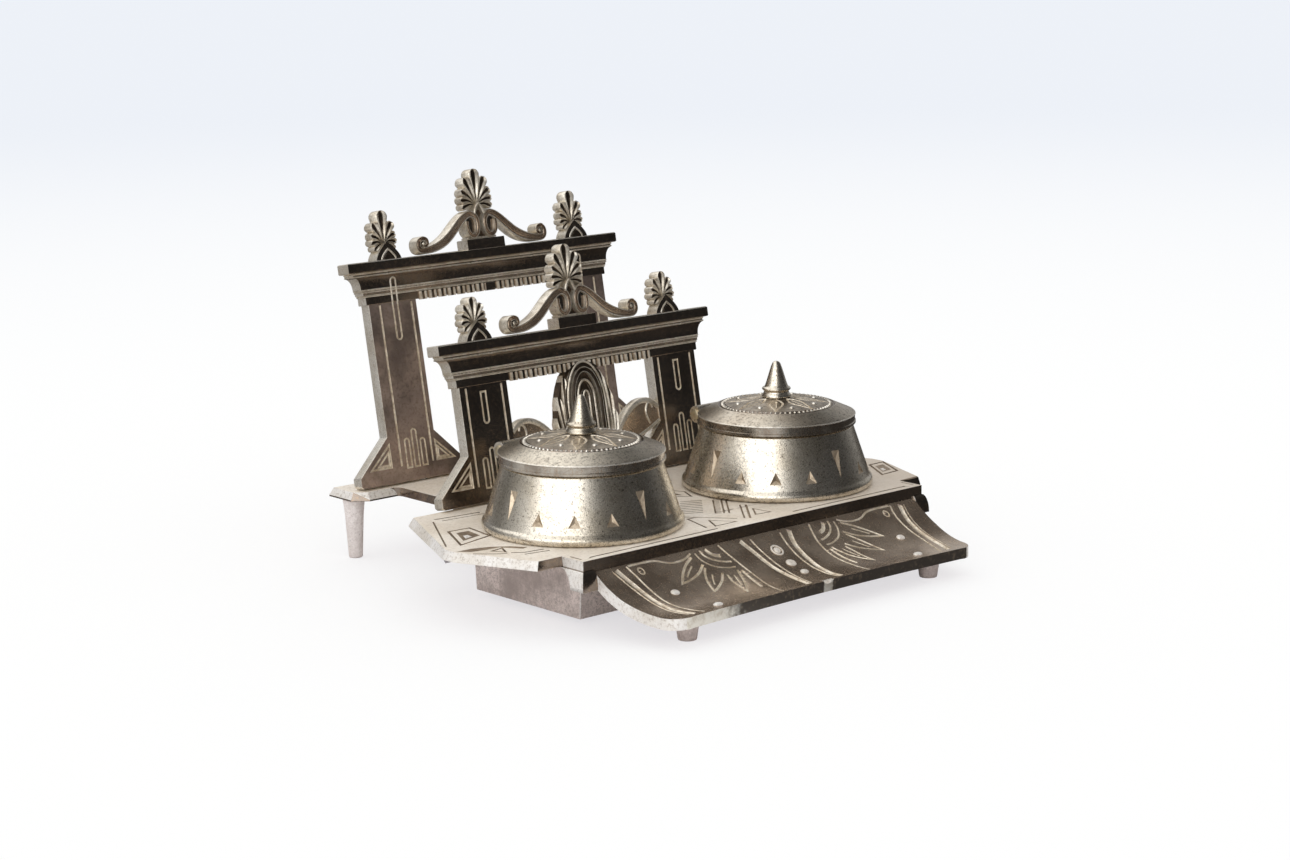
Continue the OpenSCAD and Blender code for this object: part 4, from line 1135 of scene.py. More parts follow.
def fan_loop(bm, half, head, width, section):
    """One of the nested loops, a thin ridge with a dark hollow beside it."""
    shoulder = head - half * 1.85
    run = [(-half * 0.93, FOOT_BAR_H + 0.3), (-half, 14), (-half, shoulder - 6)]
    for degrees in range(0, 91, 15):
        out, up = polar(1, degrees)
        run.append((-half * out, shoulder + (head - shoulder) * up))
    run += flip(run[-2::-1], -1)
    swept_relief(bm, smooth_path(stations_of(run, width), 3), section, -1.55, 0.8, 1.0)


def build_fan():
    skins = [ORNAMENT, SHADE_SKIN, TRAY_PLATE]
    bm = bmesh.new()
    fan_body(bm, [FOOT_BAR_H + (FAN_LOW - 0.3 - FOOT_BAR_H) * i / 14 for i in range(15)], 0.2, 4.0)
    fan_body(bm, [FAN_LOW + up for up in (-0.4, 0.6, 1.6, 2.4, 2.9)], -1.15, 0.2)
    fan_loop(bm, 9.9, FAN_TOP - 0.4, 1.2, LEAF)
    fan_loop(bm, 7.3, FAN_TOP - 3.6, 2.2, BAND)
    fan_loop(bm, 4.3, FAN_TOP - 8.0, 1.3, LEAF)
    fan_loop(bm, 1.5, FAN_TOP - 12.4, 1.1, LEAF)
    # long hollowed blades beside the loops, ending one above the other along the edge
    for side in SIDES:
        for k in range(4):
            z = FAN_TOP - 5.0 - k * 8.4
            root = (side * (11.1 + 0.55 * k), FOOT_BAR_H + 0.6)
            leaf(bm, root, (side * (11.8 + 1.0 * k), z * 0.62), (side * (fan_edge(z) - 0.5), z))
    # side scrolls: a plain body with a rounded rim and one long hook
    for side in SIDES:
        outer = flip(curve_path((12.8, 14), (22, 29.4), (32, 33.9), (39.0, 26.4)), side)
        inner = flip(curve_path((12.8, 7), (24, 14), (31, 15), (39.0, 19.4)), side)
        hook = [(33.8, 19.2), (32.4, 22.2), (32.3, 25.4), (33.6, 27.8), (35.3, 27.6), (35.8, 25.6)]
        slab(bm, outer + inner[::-1], 0.6, 4.0, 2)
        swept_relief(bm, [(x, z - 0.8, 2.4) for x, z in outer], LEAF, -0.1, 4.0, 0.8, (0, 0))
        swept_relief(bm, smooth_path(stations_of(flip(hook, side), 1.0), 3), LEAF, 0.0, 3.5, 0.6, (0, 0))
        swept_relief(bm, [(x, z + 0.6, 1.6) for x, z in inner], LEAF, 0.2, 3.9, 0.6, (0, 0))
    made = finish_mesh(bm, "fan_and_scrolls", skins, rack_map(FRONT_RACK_Y), sharp=50)
    hand_over(made, "stand", "cast_relief", "fan_panel")


build_crest("front_crest", "front_pediment", FRONT_RACK_Y, FRONT_RACK_H)
build_crest("rear_crest", "rear_pediment", REAR_RACK_Y, REAR_RACK_H)
build_side_ornaments("front_side_ornaments", "front_acroteria", FRONT_RACK_Y, FRONT_RACK_H, 17.4)
build_side_ornaments("rear_side_ornaments", "rear_acroteria", REAR_RACK_Y, REAR_RACK_H, 20.4)
build_fan()


# ---- inkpots, lids and what goes with them ----

CONE_LOW, CONE_TOP = (37.67, 33.0), (31.0, 53.5)
CONE_MEAN_R = 34.4
HINGE_Y, HINGE_Z, BARREL_R, PIN_R = 81.4, 53.9, 3.6, 1.5
LID_TOP, LID_FLAT = (4.6, 64.7), (23.8, 61.7)
LID_FALL = (LID_TOP[1] - LID_FLAT[1]) / (LID_FLAT[0] - LID_TOP[0])
BEAD_RING_R, DOT_RING_R = 21.9, 16.6


def pot_axis(side):
    return side * POT_X, POT_Y


def pot_place(side):
    """A pot's axis in the frame, in millimetres, for the repeated shapes."""
    return side * POT_X, POT_Y - MIDDLE_Y, 0


def cone_map(p):
    """(distance round the cone, height, out) to a pot's own place, starting from its right side."""
    along, z, out = p
    r = CONE_LOW[0] + (CONE_TOP[0] - CONE_LOW[0]) * (z - CONE_LOW[1]) / (CONE_TOP[1] - CONE_LOW[1]) + out
    turn = along / CONE_MEAN_R
    return local((r * math.cos(turn), r * math.sin(turn), z))


def lid_map(p):
    """(x, y, out) over a lid's gently sloping top, about the lid's own axis."""
    x, y, out = p
    return local((x, y, LID_TOP[1] - LID_FALL * (math.hypot(x, y) - LID_TOP[0]) + out))


def along_x(side):
    """Maps a shape drawn about the hinge axis to its place."""
    return lambda p: Vector((side * POT_X + p[2], HINGE_Y + p[0], HINGE_Z + p[1]))


def knuckle(side, x0, x1, start, end, web, skins):
    """A barrel from x0 to x1 along the hinge, with its web; angles of its arc in degrees."""
    bm = bmesh.new()
    plate(bm, arc_path(0, 0, BARREL_R, BARREL_R, start, end, 22) + web, x0, x1, 0.3)
    return finish_mesh(
        bm, "knuckle", skins, lambda p: Vector((side * POT_X + p[1], HINGE_Y + p[0], HINGE_Z + p[2])))


def build_pot(side):
    skins = [POT_PLATE, PIT_SKIN]
    cone_steps = 12
    foot = [
        (35.1, 28.6), (36.7, 28.6), (37.9, 28.75), (38.6, 29.2), (38.95, 29.9), (39.05, 30.7),
        (38.95, 31.4), (38.7, 32.0), (38.3, 32.45), (37.95, 32.8), (37.75, 33.2),
    ]
    cone = [(37.66 + (31.16 - 37.66) * i / cone_steps, 33.45 + (53.0 - 33.45) * i / cone_steps)
            for i in range(1, cone_steps + 1)]
    top = [
        (31.0, 53.3), (30.75, 53.5), (26.0, 53.5), (25.7, 53.2), (25.7, 51.3), (22.1, 51.3), (22.1, 49.3),
        (29.97, 49.3), (35.1, 28.6),
    ]
    pot = turned("pot", foot + cone + top, skins, pot_axis(side), 192)
    notch = cutter(hollow([(-2.15, 47.0), (2.15, 47.0), (0, 36.2)], 1.0), cone_map, skins)
    start = pot_place(side)
    cutters = [repeated_cutter(notch, 4, skins, start=start, turn=90)]
    for k in (1, 2, 3):
        notch = cutter(hollow([(-2.25, 35.7), (2.25, 35.7), (0, 40.5)], 0.85), cone_map, skins)
        cutters.append(repeated_cutter(notch, 4, skins, start=start, first_turn=22.5 * k, turn=90))
    cut(pot, cutters)
    web = [(-8.7, -0.4), (-8.7, -3.6)]
    knuckles = [knuckle(side, x, x + 7.0, -90, 186.4, web, skins) for x in (-11.4, 4.4)]
    piece = join_pieces(NAMES[side] + "_inkpot", [pot] + knuckles)
    steady_normals(piece)
    hand_over(piece, "stand", "cast_relief", NAMES[side] + "_pot")


def lid_blank(side, skins):
    """The turned shell, with skins for its disc, its bead ring and its rim."""
    profile = [
        (1.5, 64.7), (4.6, 64.7), (10.0, 63.86), (16.0, 62.92), (22.75, 61.87), (23.0, 61.45),
        (23.4, 61.3), (23.75, 61.72), (24.1, 61.62),
    ]
    profile += [(24.1 + (31.9 - 24.1) * i / 5, 61.62 + (58.2 - 61.62) * i / 5) for i in range(1, 6)]
    profile += [
        (32.12, 57.95), (32.12, 57.7), (31.9, 57.5), (31.85, 55.3), (32.2, 55.1), (32.2, 54.3),
        (31.9, 54.0), (30.6, 53.9), (30.4, 54.1), (30.4, 57.2), (22.9, 59.9), (4.6, 62.9), (1.5, 62.9),
        (1.5, 64.7),
    ]
    lid = turned("lid", profile, skins, pot_axis(side), 192, sharp=9)
    for face in lid.data.polygons:
        place = layout(face.center)
        r = math.hypot(place.x - side * POT_X, place.y - POT_Y)
        # painted shade: the bead ring's bed in the dark copy; painted highlight: the rim's top edge in the
        # pale edge copy
        if place.z > 61 and face.normal.z > 0:
            face.material_index = 2 if r < 22.8 else 3 if r < 23.72 else 0
        elif r > 31.6:
            face.material_index = 4 if place.z > 57.75 else 5
    return lid


def bored(piece, side, skins):
    """The lid's knuckle with the pin's hole through it."""
    r = PIN_R + 0.06
    bore = turned("bore", [(0, -6), (r, -6), (r, 6), (0, 6)], skins, steps=32, to_layout=along_x(side))
    return cut(piece, [bore])


def build_studs(side, name, ring_r, sunk, radii, height, dome_steps, copies, first_turn=0.0):
    """A ring of low round studs on a lid."""
    z = lid_map((ring_r, 0, 0)).z - sunk
    bm = bmesh.new()
    dome(bm, radii, height, *dome_steps)
    # painted highlight: the studs are in the pale edge copy
    stud = finish_mesh(bm, "stud", [EDGE_PLATE], lambda p: local((p[0] + ring_r, p[1], p[2] + z)))
    ring = repeated(NAMES[side] + name, stud, copies, EDGE_PLATE, pot_place(side),
                    first_turn=first_turn, turn=360 / copies)
    hand_over(ring, NAMES[side] + "_lid_set", "polished_edge")


def build_lid(side):
    skins = [LID_PLATE, GROOVE_SKIN, LID_DISC, FACE_PLATE, EDGE_PLATE, LID_RIM]
    lid = lid_blank(side, skins)
    petal = [(6.4, 0), (8.0, 1.5), (10.4, 2.7), (13.2, 2.5), (16.6, 1.2), (20.2, 0)]
    petal += [(x, -y) for x, y in petal[-2:0:-1]]
    shapes = (groove(petal, 0.95, 0.5, True),
              groove([(8.6, 0), (12, 0), (16.2, 0)], 0.9, 0.4, taper=lambda t: 1 - 0.6 * t))
    cutters = [repeated_cutter(cutter(shape, lid_map, skins), 8, skins, start=pot_place(side), turn=45)
               for shape in shapes]
    # painted shade: the bead ring's bed is cut in the dark copy
    bead_bed = groove(ring_path(0, 0, BEAD_RING_R, BEAD_RING_R, 96), 1.9, 0.35, True)
    cutters.append(cutter(bead_bed, lambda p: lid_map(p) + Vector(pot_place(side)), skins, 3))
    cut(lid, cutters)
    barrel = knuckle(side, -4.0, 4.0, 90, -186.4, [(-6.0, 0.4), (-6.0, 3.6)], skins)
    piece = join_pieces(NAMES[side] + "_lid_shell", [lid, bored(barrel, side, skins)])
    steady_normals(piece)
    hand_over(piece, NAMES[side] + "_lid_set", "plated_brass", NAMES[side] + "_lid")
    build_studs(side, "_lid_beads", BEAD_RING_R, 0.3, (0.82, 0.62), 0.62, (8, 2), 72)
    build_studs(side, "_lid_dots", DOT_RING_R, 0, (1.15, 1.15), 0.55, (12, 3), 8, 22.5)


def build_knob(side):
    profile = [
        (0, 60.7), (1.3, 60.7), (1.5, 60.9), (1.5, 64.7), (5.75, 64.7), (5.9, 65.0), (5.75, 65.6),
        (5.3, 66.3), (5.0, 66.9), (5.1, 67.3), (5.5, 67.5), (5.8, 67.9), (5.8, 68.3), (5.5, 68.65),
        (5.0, 68.8), (4.75, 69.1), (4.5, 69.7), (4.05, 71.0), (3.5, 72.8), (2.95, 74.6), (2.35, 76.5),
        (1.85, 77.9),
    ]
    profile += arc_path(0, 77.9, 1.75, 1.4, 15, 75, 4) + [(0, 79.3)]
    knob = turned(NAMES[side] + "_lid_knob", profile, [POT_PLATE], pot_axis(side), 64, sharp=50)
    hand_over(knob, NAMES[side] + "_lid_set", "polished_edge", NAMES[side] + "_knob")


def build_nut(side):
    bm = bmesh.new()
    plate(bm, ring_path(0, 0, 3.3, 3.3, 6), 61.1, 62.9, 0.25)
    nut = finish_mesh(bm, NAMES[side] + "_lid_nut", [TURNED_BRASS],
                      lambda p: Vector((side * POT_X + p[0], POT_Y + p[2], p[1])))
    hand_over(nut, NAMES[side] + "_lid_set", "brass", NAMES[side] + "_knob_nut")


def build_liner(side):
    profile = [
        (0, 5.6), (19.8, 5.6), (20.6, 5.8), (21.2, 6.3), (21.5, 7.2), (21.5, 51.3), (24.8, 51.3),
        (25.1, 51.6), (25.1, 53.2), (24.8, 53.5), (19.6, 53.5), (19.15, 53.1), (19.1, 52.6),
        (19.1, 9.6), (18.6, 8.5), (17.6, 8.0), (0, 7.7),
    ]
    liner = turned(NAMES[side] + "_ink_glass", profile, [LINER_GLASS], pot_axis(side))
    hand_over(liner, "stand", "glass", NAMES[side] + "_liner")


def build_pin(side):
    head = [(0, 12.2), (1.7, 12.2), (2.1, 12.0), (2.2, 11.7), (2.2, 11.4), (PIN_R, 11.4)]
    profile = [(r, -z) for r, z in head] + head[::-1]
    pin = turned(NAMES[side] + "_lid_pin", profile, [TURNED_BRASS], steps=32, to_layout=along_x(side))
    hand_over(pin, "stand", "brass", NAMES[side] + "_hinge_pin")


for hand in SIDES:
    build_pot(hand)
    build_lid(hand)
    build_knob(hand)
    build_nut(hand)
    build_liner(hand)
    build_pin(hand)


# ---- deck and fascia ----

EAR_FRAME = [(95.8, 72.5), (86.3, 71.8), (88.6, 56.4), (105.6, 52.0)]
SWOOSH_GEM = [(-103.2, 36.4), (-97.6, 37.6), (-100.5, 31.6)]
DIAMOND = [(104.0, 42.4), (112.4, 42.6), (103.7, 26.3), (93.6, 25.3)]


def deck_map(p):
    return Vector((p[0], p[1], DECK_TOP + p[2]))


def soften(bm, offset, angle, skip):
    """Bevels the edges sharper than an angle, apart from those that skip picks out."""
    edges = [e for e in bm.edges
             if e.is_manifold and e.calc_face_angle(0) > math.radians(angle) and not skip(e)]
    bmesh.ops.bevel(
        bm, geom=edges, offset=offset / 1000, segments=2, profile=0.6, affect="EDGES", clamp_overlap=True)


def node_blank(name, node, skins, offset, angle, skip):
    """A copy of a node's own mesh, with flat faces merged and its edges softened."""
    bm = bmesh.new()
    bm.from_mesh(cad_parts[node].data)
    bmesh.ops.remove_doubles(bm, verts=bm.verts, dist=0.000002)
    bmesh.ops.dissolve_limit(bm, angle_limit=0.002, verts=bm.verts, edges=bm.edges)
    soften(bm, offset, angle, skip)
    bmesh.ops.triangulate(bm, faces=[f for f in bm.faces if len(f.verts) > 4])
    for face in bm.faces:
        face.material_index = 0
    return object_from(bm, name, skins)


def framed(outline):
    """A line round a sunk middle."""
    return [groove(outline, 1.1, 0.55, True), hollow(shrunk(outline, 0.58), 0.9)]


def engraved(width, *points, closed=False):
    return groove(points, width, 0.5, closed)


def deck_drawing():
    """Engraved figures: those on both sides, then those on the left and right and between the pots."""
    both = framed(EAR_FRAME) + [
        engraved(0.9, (20.0, 3.6), (84.0, 3.6)), engraved(0.7, (88.2, 3.0), (88.2, 9.6)),
        engraved(1.0, (87.6, 92.5), (66.9, 90.1)), engraved(0.7, (86.6, 88.6), (66.4, 87.0)),
        engraved(0.7, (111.0, 54.0), (90.2, 89.6)), engraved(0.7, (16.2, 74.6), (1.0, 74.6)),
        engraved(0.7, (20.4, 77.0), (1.0, 77.0)), engraved(0.6, (25.0, 79.4), (1.0, 79.4)),
    ]
    swoosh = [
        (-113.2, 45.0), (-106.5, 44.8), (-99.5, 42.2), (-93.5, 37.4), (-89.9, 31.9), (-92.6, 31.2),
        (-95.6, 35.6), (-97.6, 38.9), (-103.8, 39.4), (-109.5, 40.8),
    ]
    left = [
        hollow(swoosh, 0.8, 0.2), engraved(0.9, *SWOOSH_GEM, closed=True),
        engraved(0.8, (-110.8, 38.0), (-104.6, 31.8), (-101.4, 29.6)),
        engraved(0.9, (-99.6, 29.6), (-95.7, 26.4), (-87.5, 25.3)),
        engraved(0.8, (-97.6, 24.1), (-87.4, 22.1)),
    ]
    right = framed(DIAMOND) + [hollow([(90.4, 12.6), (102.4, 13.1), (93.9, 4.4)], 1.0)]
    between = [
        engraved(0.6, (11.8, 40.5), (-3.5, 22.5)), engraved(0.7, (14.6, 38.6), (-0.7, 20.6)),
        engraved(0.7, (15.0, 36.2), (0.8, 19.2)), engraved(0.9, (15.5, 25.4), (0.7, 7.4)),
        engraved(0.7, (13.6, 26.8), (-1.0, 8.8)),
        engraved(0.8, (12.6, 18.3), (6.4, 10.3), (13.6, 9.4), closed=True),
        engraved(0.9, (-16.0, 26.5), (-3.4, 10.4)), engraved(0.8, (-17.5, 23.7), (-22.3, 7.4)),
        engraved(0.8, (-18.0, 7.0), (-7.0, 7.0), (-13.4, 15.6), closed=True),
    ]
    kite = [(10.4, 51.6), (1.0, 60.2), (10.4, 69.0), (14.4, 60.2)]
    heart = [(9.6, 55.6), (4.6, 60.2), (9.6, 64.8)]
    for side in (1, -1):
        between += [engraved(0.9, *flip(kite, side), closed=True), hollow(flip(heart, side), 0.8)]
    return both, left + right + between


def in_pot_hole(edge):
    """Whether an edge touches a pot's opening or lies under the deck's plate."""
    places = [layout(v.co) for v in edge.verts]
    return any(math.hypot(abs(p.x) - POT_X, p.y - POT_Y) < 34 or p.z < DECK_LOW - 0.2 for p in places)


def skin_deck(deck):
    rim, under, front, apron = 2, 3, 4, 5
    # painted light: faces that look forward get the dark copy as painted reflection, the other side faces
    # the pale rim copy as painted highlight
    for face in deck.data.polygons:
        n, place = face.normal, layout(face.center)
        if n.z < -0.5:
            face.material_index = under
        elif place.z < DECK_LOW - 0.05:
            face.material_index = apron
        elif n.z < 0.95:
            facing = (abs(n.x) < 0.2 and n.y < 0) or place.y > 80
            face.material_index = front if facing and n.z < 0.3 else rim


def build_deck():
    skins = [TOP_PLATE, ENGRAVED, RIM_PLATE, RAW_SKIN, FACE_PLATE, APRON_SKIN]
    deck = node_blank("deck", "deck_plate", skins, 0.35, 20, in_pot_hole)
    skin_deck(deck)
    both, single = deck_drawing()
    cutters = on_both_sides(both, deck_map, skins) + [cutter(shape, deck_map, skins) for shape in single]
    # ladder rungs and comb teeth, repeated along the slanting bands between the pots
    for x, y, copies, step, (reach_x, reach_y), width in (
            (12.9, 39.9, 15, (-1.09, -1.29, 0), (0.85, -0.72), 0.6),
            (4.4, 45.3, 8, (-1.98, -2.25, 0), (4.0, -2.1), 0.85)):
        rung = cutter(groove([(-reach_x, -reach_y), (reach_x, reach_y)], width, 0.4), local, skins)
        cutters.append(repeated_cutter(rung, copies, skins, start=(x, y - MIDDLE_Y, DECK_TOP), step=step))
    cut(deck, cutters)
    steady_normals(deck)
    hand_over(deck, "stand", "plated_brass", "deck_plate")


def build_deck_gems():
    """Low pyramids that stand in the framed figures."""
    bm = bmesh.new()
    for outline, by, up in ((EAR_FRAME, 0.44, -0.02), (flip(EAR_FRAME, -1), 0.44, -0.02),
                            (DIAMOND, 0.44, -0.02), (SWOOSH_GEM, 0.7, 0.25)):
        base = shrunk(outline, by)
        low = [bm.verts.new((x, y, DECK_TOP - 1.1)) for x, y in base]
        fan(bm, low, bm.verts.new((*middle_of(base), DECK_TOP + up)))
        cap(bm, low[::-1])
    # painted highlight: the pyramids are in the pale rim copy
    gems = finish_mesh(bm, "deck_pyramids", [RIM_PLATE], sharp=20)
    hand_over(gems, "stand", "plated_brass")


def build_fascia():
    skins = [FACE_PLATE, RIM_PLATE, RAW_SKIN]
    fascia = node_blank("fascia_strip", "front_fascia", skins, 0.25, 40,
                        lambda e: any(1.0 < layout(v.co).y < 10.5 for v in e.verts))
    # painted highlight: the ends get the pale rim copy; the front keeps the dark copy, painted reflection
    for face in fascia.data.polygons:
        n, x = face.normal, abs(layout(face.center).x)
        if n.y > 0.5 and x < 84:
            face.material_index = 2
        elif x > 84.6 and (abs(n.x) > 0.5 or n.y > 0.3):
            face.material_index = 1
    steady_normals(fascia)
    hand_over(fascia, "stand", "polished_edge", "front_fascia")


build_deck()
build_deck_gems()
build_fascia()


# ---- pen tray ----

TRAY_LOW, TRAY_LOW_Y, TRAY_R, TRAY_T = 11.8, -33.0, 50.0, 4.3
TRAY_AXIS_Z = TRAY_LOW + TRAY_R
LIP_HALF_W, LIP_CORNER_R, LIP_Y, LIP_HOLLOW = 80.6, 9.4, -38.8, 3.2
NICK_HALF_W, NICK_DEEP = 3.0, 1.4


def tray_map(p):
    """(x, y, out) on the tray's hollow top."""
    x, y, out = p
    z = TRAY_AXIS_Z - math.sqrt(TRAY_R ** 2 - (y - TRAY_LOW_Y) ** 2)
    return Vector((x, y + out * (TRAY_LOW_Y - y) / TRAY_R, z + out * (TRAY_AXIS_Z - z) / TRAY_R))


def tray_outline():
    """From the middle of the lip to the back on the right, and back on the left."""
    reach = LIP_HALF_W - LIP_CORNER_R
    half = []
    for x in (reach * i / 14 for i in range(15)):
        half.append((x, LIP_Y + LIP_HOLLOW * (1 - (x / LIP_HALF_W) ** 2)))
    half += arc_path(reach, LIP_Y + LIP_CORNER_R, LIP_CORNER_R, LIP_CORNER_R, -80, 0, 8)
    half += [(82.2, -21.5), (83.8, -13.6), (84.6, -6.5), (85.0, -0.0)]
    return half + flip(half[:0:-1], -1)


def rolled_plate(skins):
    """The curved plate before it is cut to its outline."""
    bm = bmesh.new()
    inner, outer = [], []
    for turn in (math.radians(-9.5 + 51.5 * i / 90) for i in range(91)):
        for line, r in ((inner, TRAY_R), (outer, TRAY_R + TRAY_T)):
            line.append((TRAY_LOW_Y + r * math.sin(turn), TRAY_AXIS_Z - r * math.cos(turn)))
    ends = [[bm.verts.new((x, y, z)) for y, z in inner + outer[::-1]] for x in (-90, 90)]
    wall(bm, *ends)
    n = len(ends[0])
    for end in ends:
        for i in range(len(inner) - 1):
            bm.faces.new((end[i], end[i + 1], end[n - 2 - i], end[n - 1 - i]))
    return finish_mesh(bm, "tray", skins)


def tray_blank(skins):
    """The rolled plate, cut to its outline and softened along its edges."""
    tray = rolled_plate(skins)
    bm = bmesh.new()
    slab(bm, tray_outline(), 0.0, 60.0)
    combine(tray, "INTERSECT", finish_mesh(bm, "outline", skins, lambda p: Vector((p[0], p[2], p[1]))))
    bm = bmesh.new()
    bm.from_mesh(tray.data)
    bmesh.ops.dissolve_limit(bm, angle_limit=0.002, verts=bm.verts, edges=bm.edges)
    soften(bm, 0.4, 48, lambda e: all(abs(layout(v.co).y) < 0.05 for v in e.verts))
    # painted highlight: the side edges get the pale rim copy; the lip's front gets the lip's painted
    # reflection
    for face in bm.faces:
        if abs(face.normal.z) < 0.45 and layout(face.calc_center_median()).y < -0.5:
            side_edge = abs(face.normal.x) > 0.35
            face.material_index = 2 if side_edge else 4
    bm.to_mesh(tray.data)
    bm.free()
    return tray


def flowing(width, depth, *points):
    """A groove along a smooth curve through the points."""
    return groove(smooth_line(points, 4), width, depth)


def leaf_line(upper, tip, lower):
    """A leaf: a smooth edge to its tip, and a smooth edge back."""
    there, back = (smooth_line(run, 3) for run in (upper + [tip], [tip] + lower))
    return groove(there + back[1:], 0.95, 0.6)


def tray_drawing():
    """Engraved lines of the right half; the left half is their mirror image."""
    dot = smooth_line(arc_path(65.3, -3.6, 1.25, 1.25, 0, 360, 10), 4)[:-1]
    return [
        flowing(0.85, 0.5, (70.3, -0.9), (68.9, -5.6), (68.4, -12.8), (68.2, -20.1), (66.6, -27.0),
                (63.0, -35.2)),
        flowing(2.0, 0.55, (75.4, -1.3), (73.3, -7.1), (72.2, -13.1), (71.5, -21.2), (70.4, -27.7),
                (67.6, -35.0)),
        flowing(0.5, 0.35, (77.6, -1.5), (75.6, -7.1), (74.4, -13.1), (73.6, -21.2), (72.5, -27.7),
                (69.9, -34.4)),
        flowing(0.85, 0.5, (24.3, -0.8), (23.3, -3.5), (21.7, -8.6), (21.0, -15.4), (21.5, -21.4),
                (22.3, -26.8), (22.9, -35.0)),
        flowing(2.1, 0.55, (13.0, -1.2), (10.6, -7.0), (9.5, -14.9), (8.6, -22.0), (8.3, -29.0),
                (8.9, -33.8)),
        flowing(0.8, 0.5, (7.9, -1.4), (6.8, -8.5), (6.2, -16.3), (6.1, -23.9), (6.6, -31.0),
                (7.4, -34.0)),
        flowing(1.5, 0.6, (31.4, -1.2), (30.6, -2.6), (29.0, -4.0), (26.6, -4.7)),
        flowing(0.85, 0.5, (34.2, -1.2), (33.6, -3.4), (31.0, -5.7), (27.0, -7.4), (24.0, -8.0)),
        flowing(0.7, 0.5, (37.0, -1.8), (36.3, -4.9), (33.2, -8.3), (28.2, -10.3), (24.4, -10.7)),
        flowing(0.7, 0.4, (39.0, -1.5), (43.0, -2.9), (47.5, -3.3), (51.5, -2.9), (55.7, -1.4),
                (60.0, -0.9), (69.4, -0.9)),
        leaf_line([(39.8, -2.9), (45.0, -5.4), (49.6, -8.9)], (53.4, -12.9),
                  [(47.6, -11.7), (42.0, -9.6), (37.4, -6.6)]),
        leaf_line([(37.6, -8.0), (40.2, -11.0), (42.8, -15.2)], (45.0, -21.2),
                  [(40.6, -18.8), (36.2, -15.8), (32.6, -12.2)]),
        leaf_line([(31.4, -13.6), (32.6, -17.4), (33.0, -21.4)], (33.8, -26.8),
                  [(30.4, -22.6), (27.4, -17.8), (25.2, -12.4)]),
        flowing(1.2, 0.5, (23.6, -13.0), (24.2, -19.0), (25.4, -25.8)),
        flowing(0.6, 0.4, (42.6, -6.2), (45.6, -8.1), (48.6, -10.3)),
        flowing(0.6, 0.4, (37.4, -11.8), (39.4, -14.4), (41.2, -17.2)),
        flowing(0.6, 0.4, (28.9, -14.6), (30.2, -18.2), (31.6, -21.6)),
        groove(dot, 0.6, 0.4, True),
    ]


def lip_nick(skins):
    """A cutter for the worn nick in the middle of the lip."""
    outline = [
        (-NICK_HALF_W, 0.4), (-2.2, -0.7), (-1.0, -NICK_DEEP + 0.1), (0.8, -NICK_DEEP), (2.1, -0.8),
        (NICK_HALF_W, 0.4), (NICK_HALF_W, 3.0), (-NICK_HALF_W, 3.0),
    ]
    bm = bmesh.new()
    slab(bm, lifted(outline, 11.9), -42.0, -34.2, 2)
    return finish_mesh(bm, "nick", skins)


def build_tray():
    skins = [TRAY_PLATE, GROOVE_SKIN, RIM_PLATE, RAW_SKIN, LIP_PLATE]
    tray = tray_blank(skins)
    cut(tray, on_both_sides(tray_drawing(), tray_map, skins) + [lip_nick(skins)])
    for face in tray.data.polygons:
        if face.normal.z < -0.5:
            face.material_index = 3
    steady_normals(tray)
    hand_over(tray, "stand", "cast_relief", "pen_tray")


def build_tray_pellets():
    """Low bosses in the hollow, in pairs beside the middle and singly along it."""
    bm = bmesh.new()
    pairs = ((60.1, -16.3, 1.9), (53.2, -31.8, 2.1))
    bosses = [(side * x, y, rx, 1.6, 0.8) for x, y, rx in pairs for side in SIDES]
    bosses += [(0, -15.6, 2.2, 2.0, 0.9), (0, -22.8, 1.8, 1.6, 0.8), (0, -8.0, 1.4, 1.4, 0.8)]
    for x, y, rx, ry, height in bosses:
        dome(bm, (rx, ry), height, 20, 4, lambda p: tray_map((x + p[0], y + p[1], p[2])))
    strip(bm, ring_path(0, -8.0, 2.3, 2.2, 28), bead_profile(0.7, 0.4, 0.3), tray_map, True)
    # painted highlight: the pellets are in the pale rim copy
    pellets = finish_mesh(bm, "tray_pellets", [RIM_PLATE])
    hand_over(pellets, "stand", "polished_edge")


build_tray()
build_tray_pellets()


# ---- well boxes, feet, legs and fixings ----

HEAD_R, HEAD_H, SHANK_R = 2.8, 1.8, 1.5


def box_edge_stays(edge):
    """The rim under the deck and the edges of the well's own opening aren't softened."""
    places = [layout(v.co) for v in edge.verts]
    in_well = any(p.z > 4.6 and math.hypot(abs(p.x) - POT_X, p.y - POT_Y) < 26 for p in places)
    return in_well or all(p.z > 24 for p in places)


def build_box(side):
    name = NAMES[side] + "_well_box"
    box = node_blank(name + "_casting", name, [RAW_SKIN, RAW_EDGE, SHADE_SKIN], 0.7, 40, box_edge_stays)
    for face in box.data.polygons:
        if abs(face.normal.x) > 0.25 and abs(face.normal.y) > 0.25:
            face.material_index = 1
    steady_normals(box)
    hand_over(box, "stand", "raw_casting", name)


def build_support(node, piece_name, skin):
    support = node_blank(
        piece_name, node, [skin], 0.6, 50, lambda e: any(layout(v.co).z > 4 for v in e.verts))
    steady_normals(support)
    hand_over(support, "stand", "raw_casting", node)


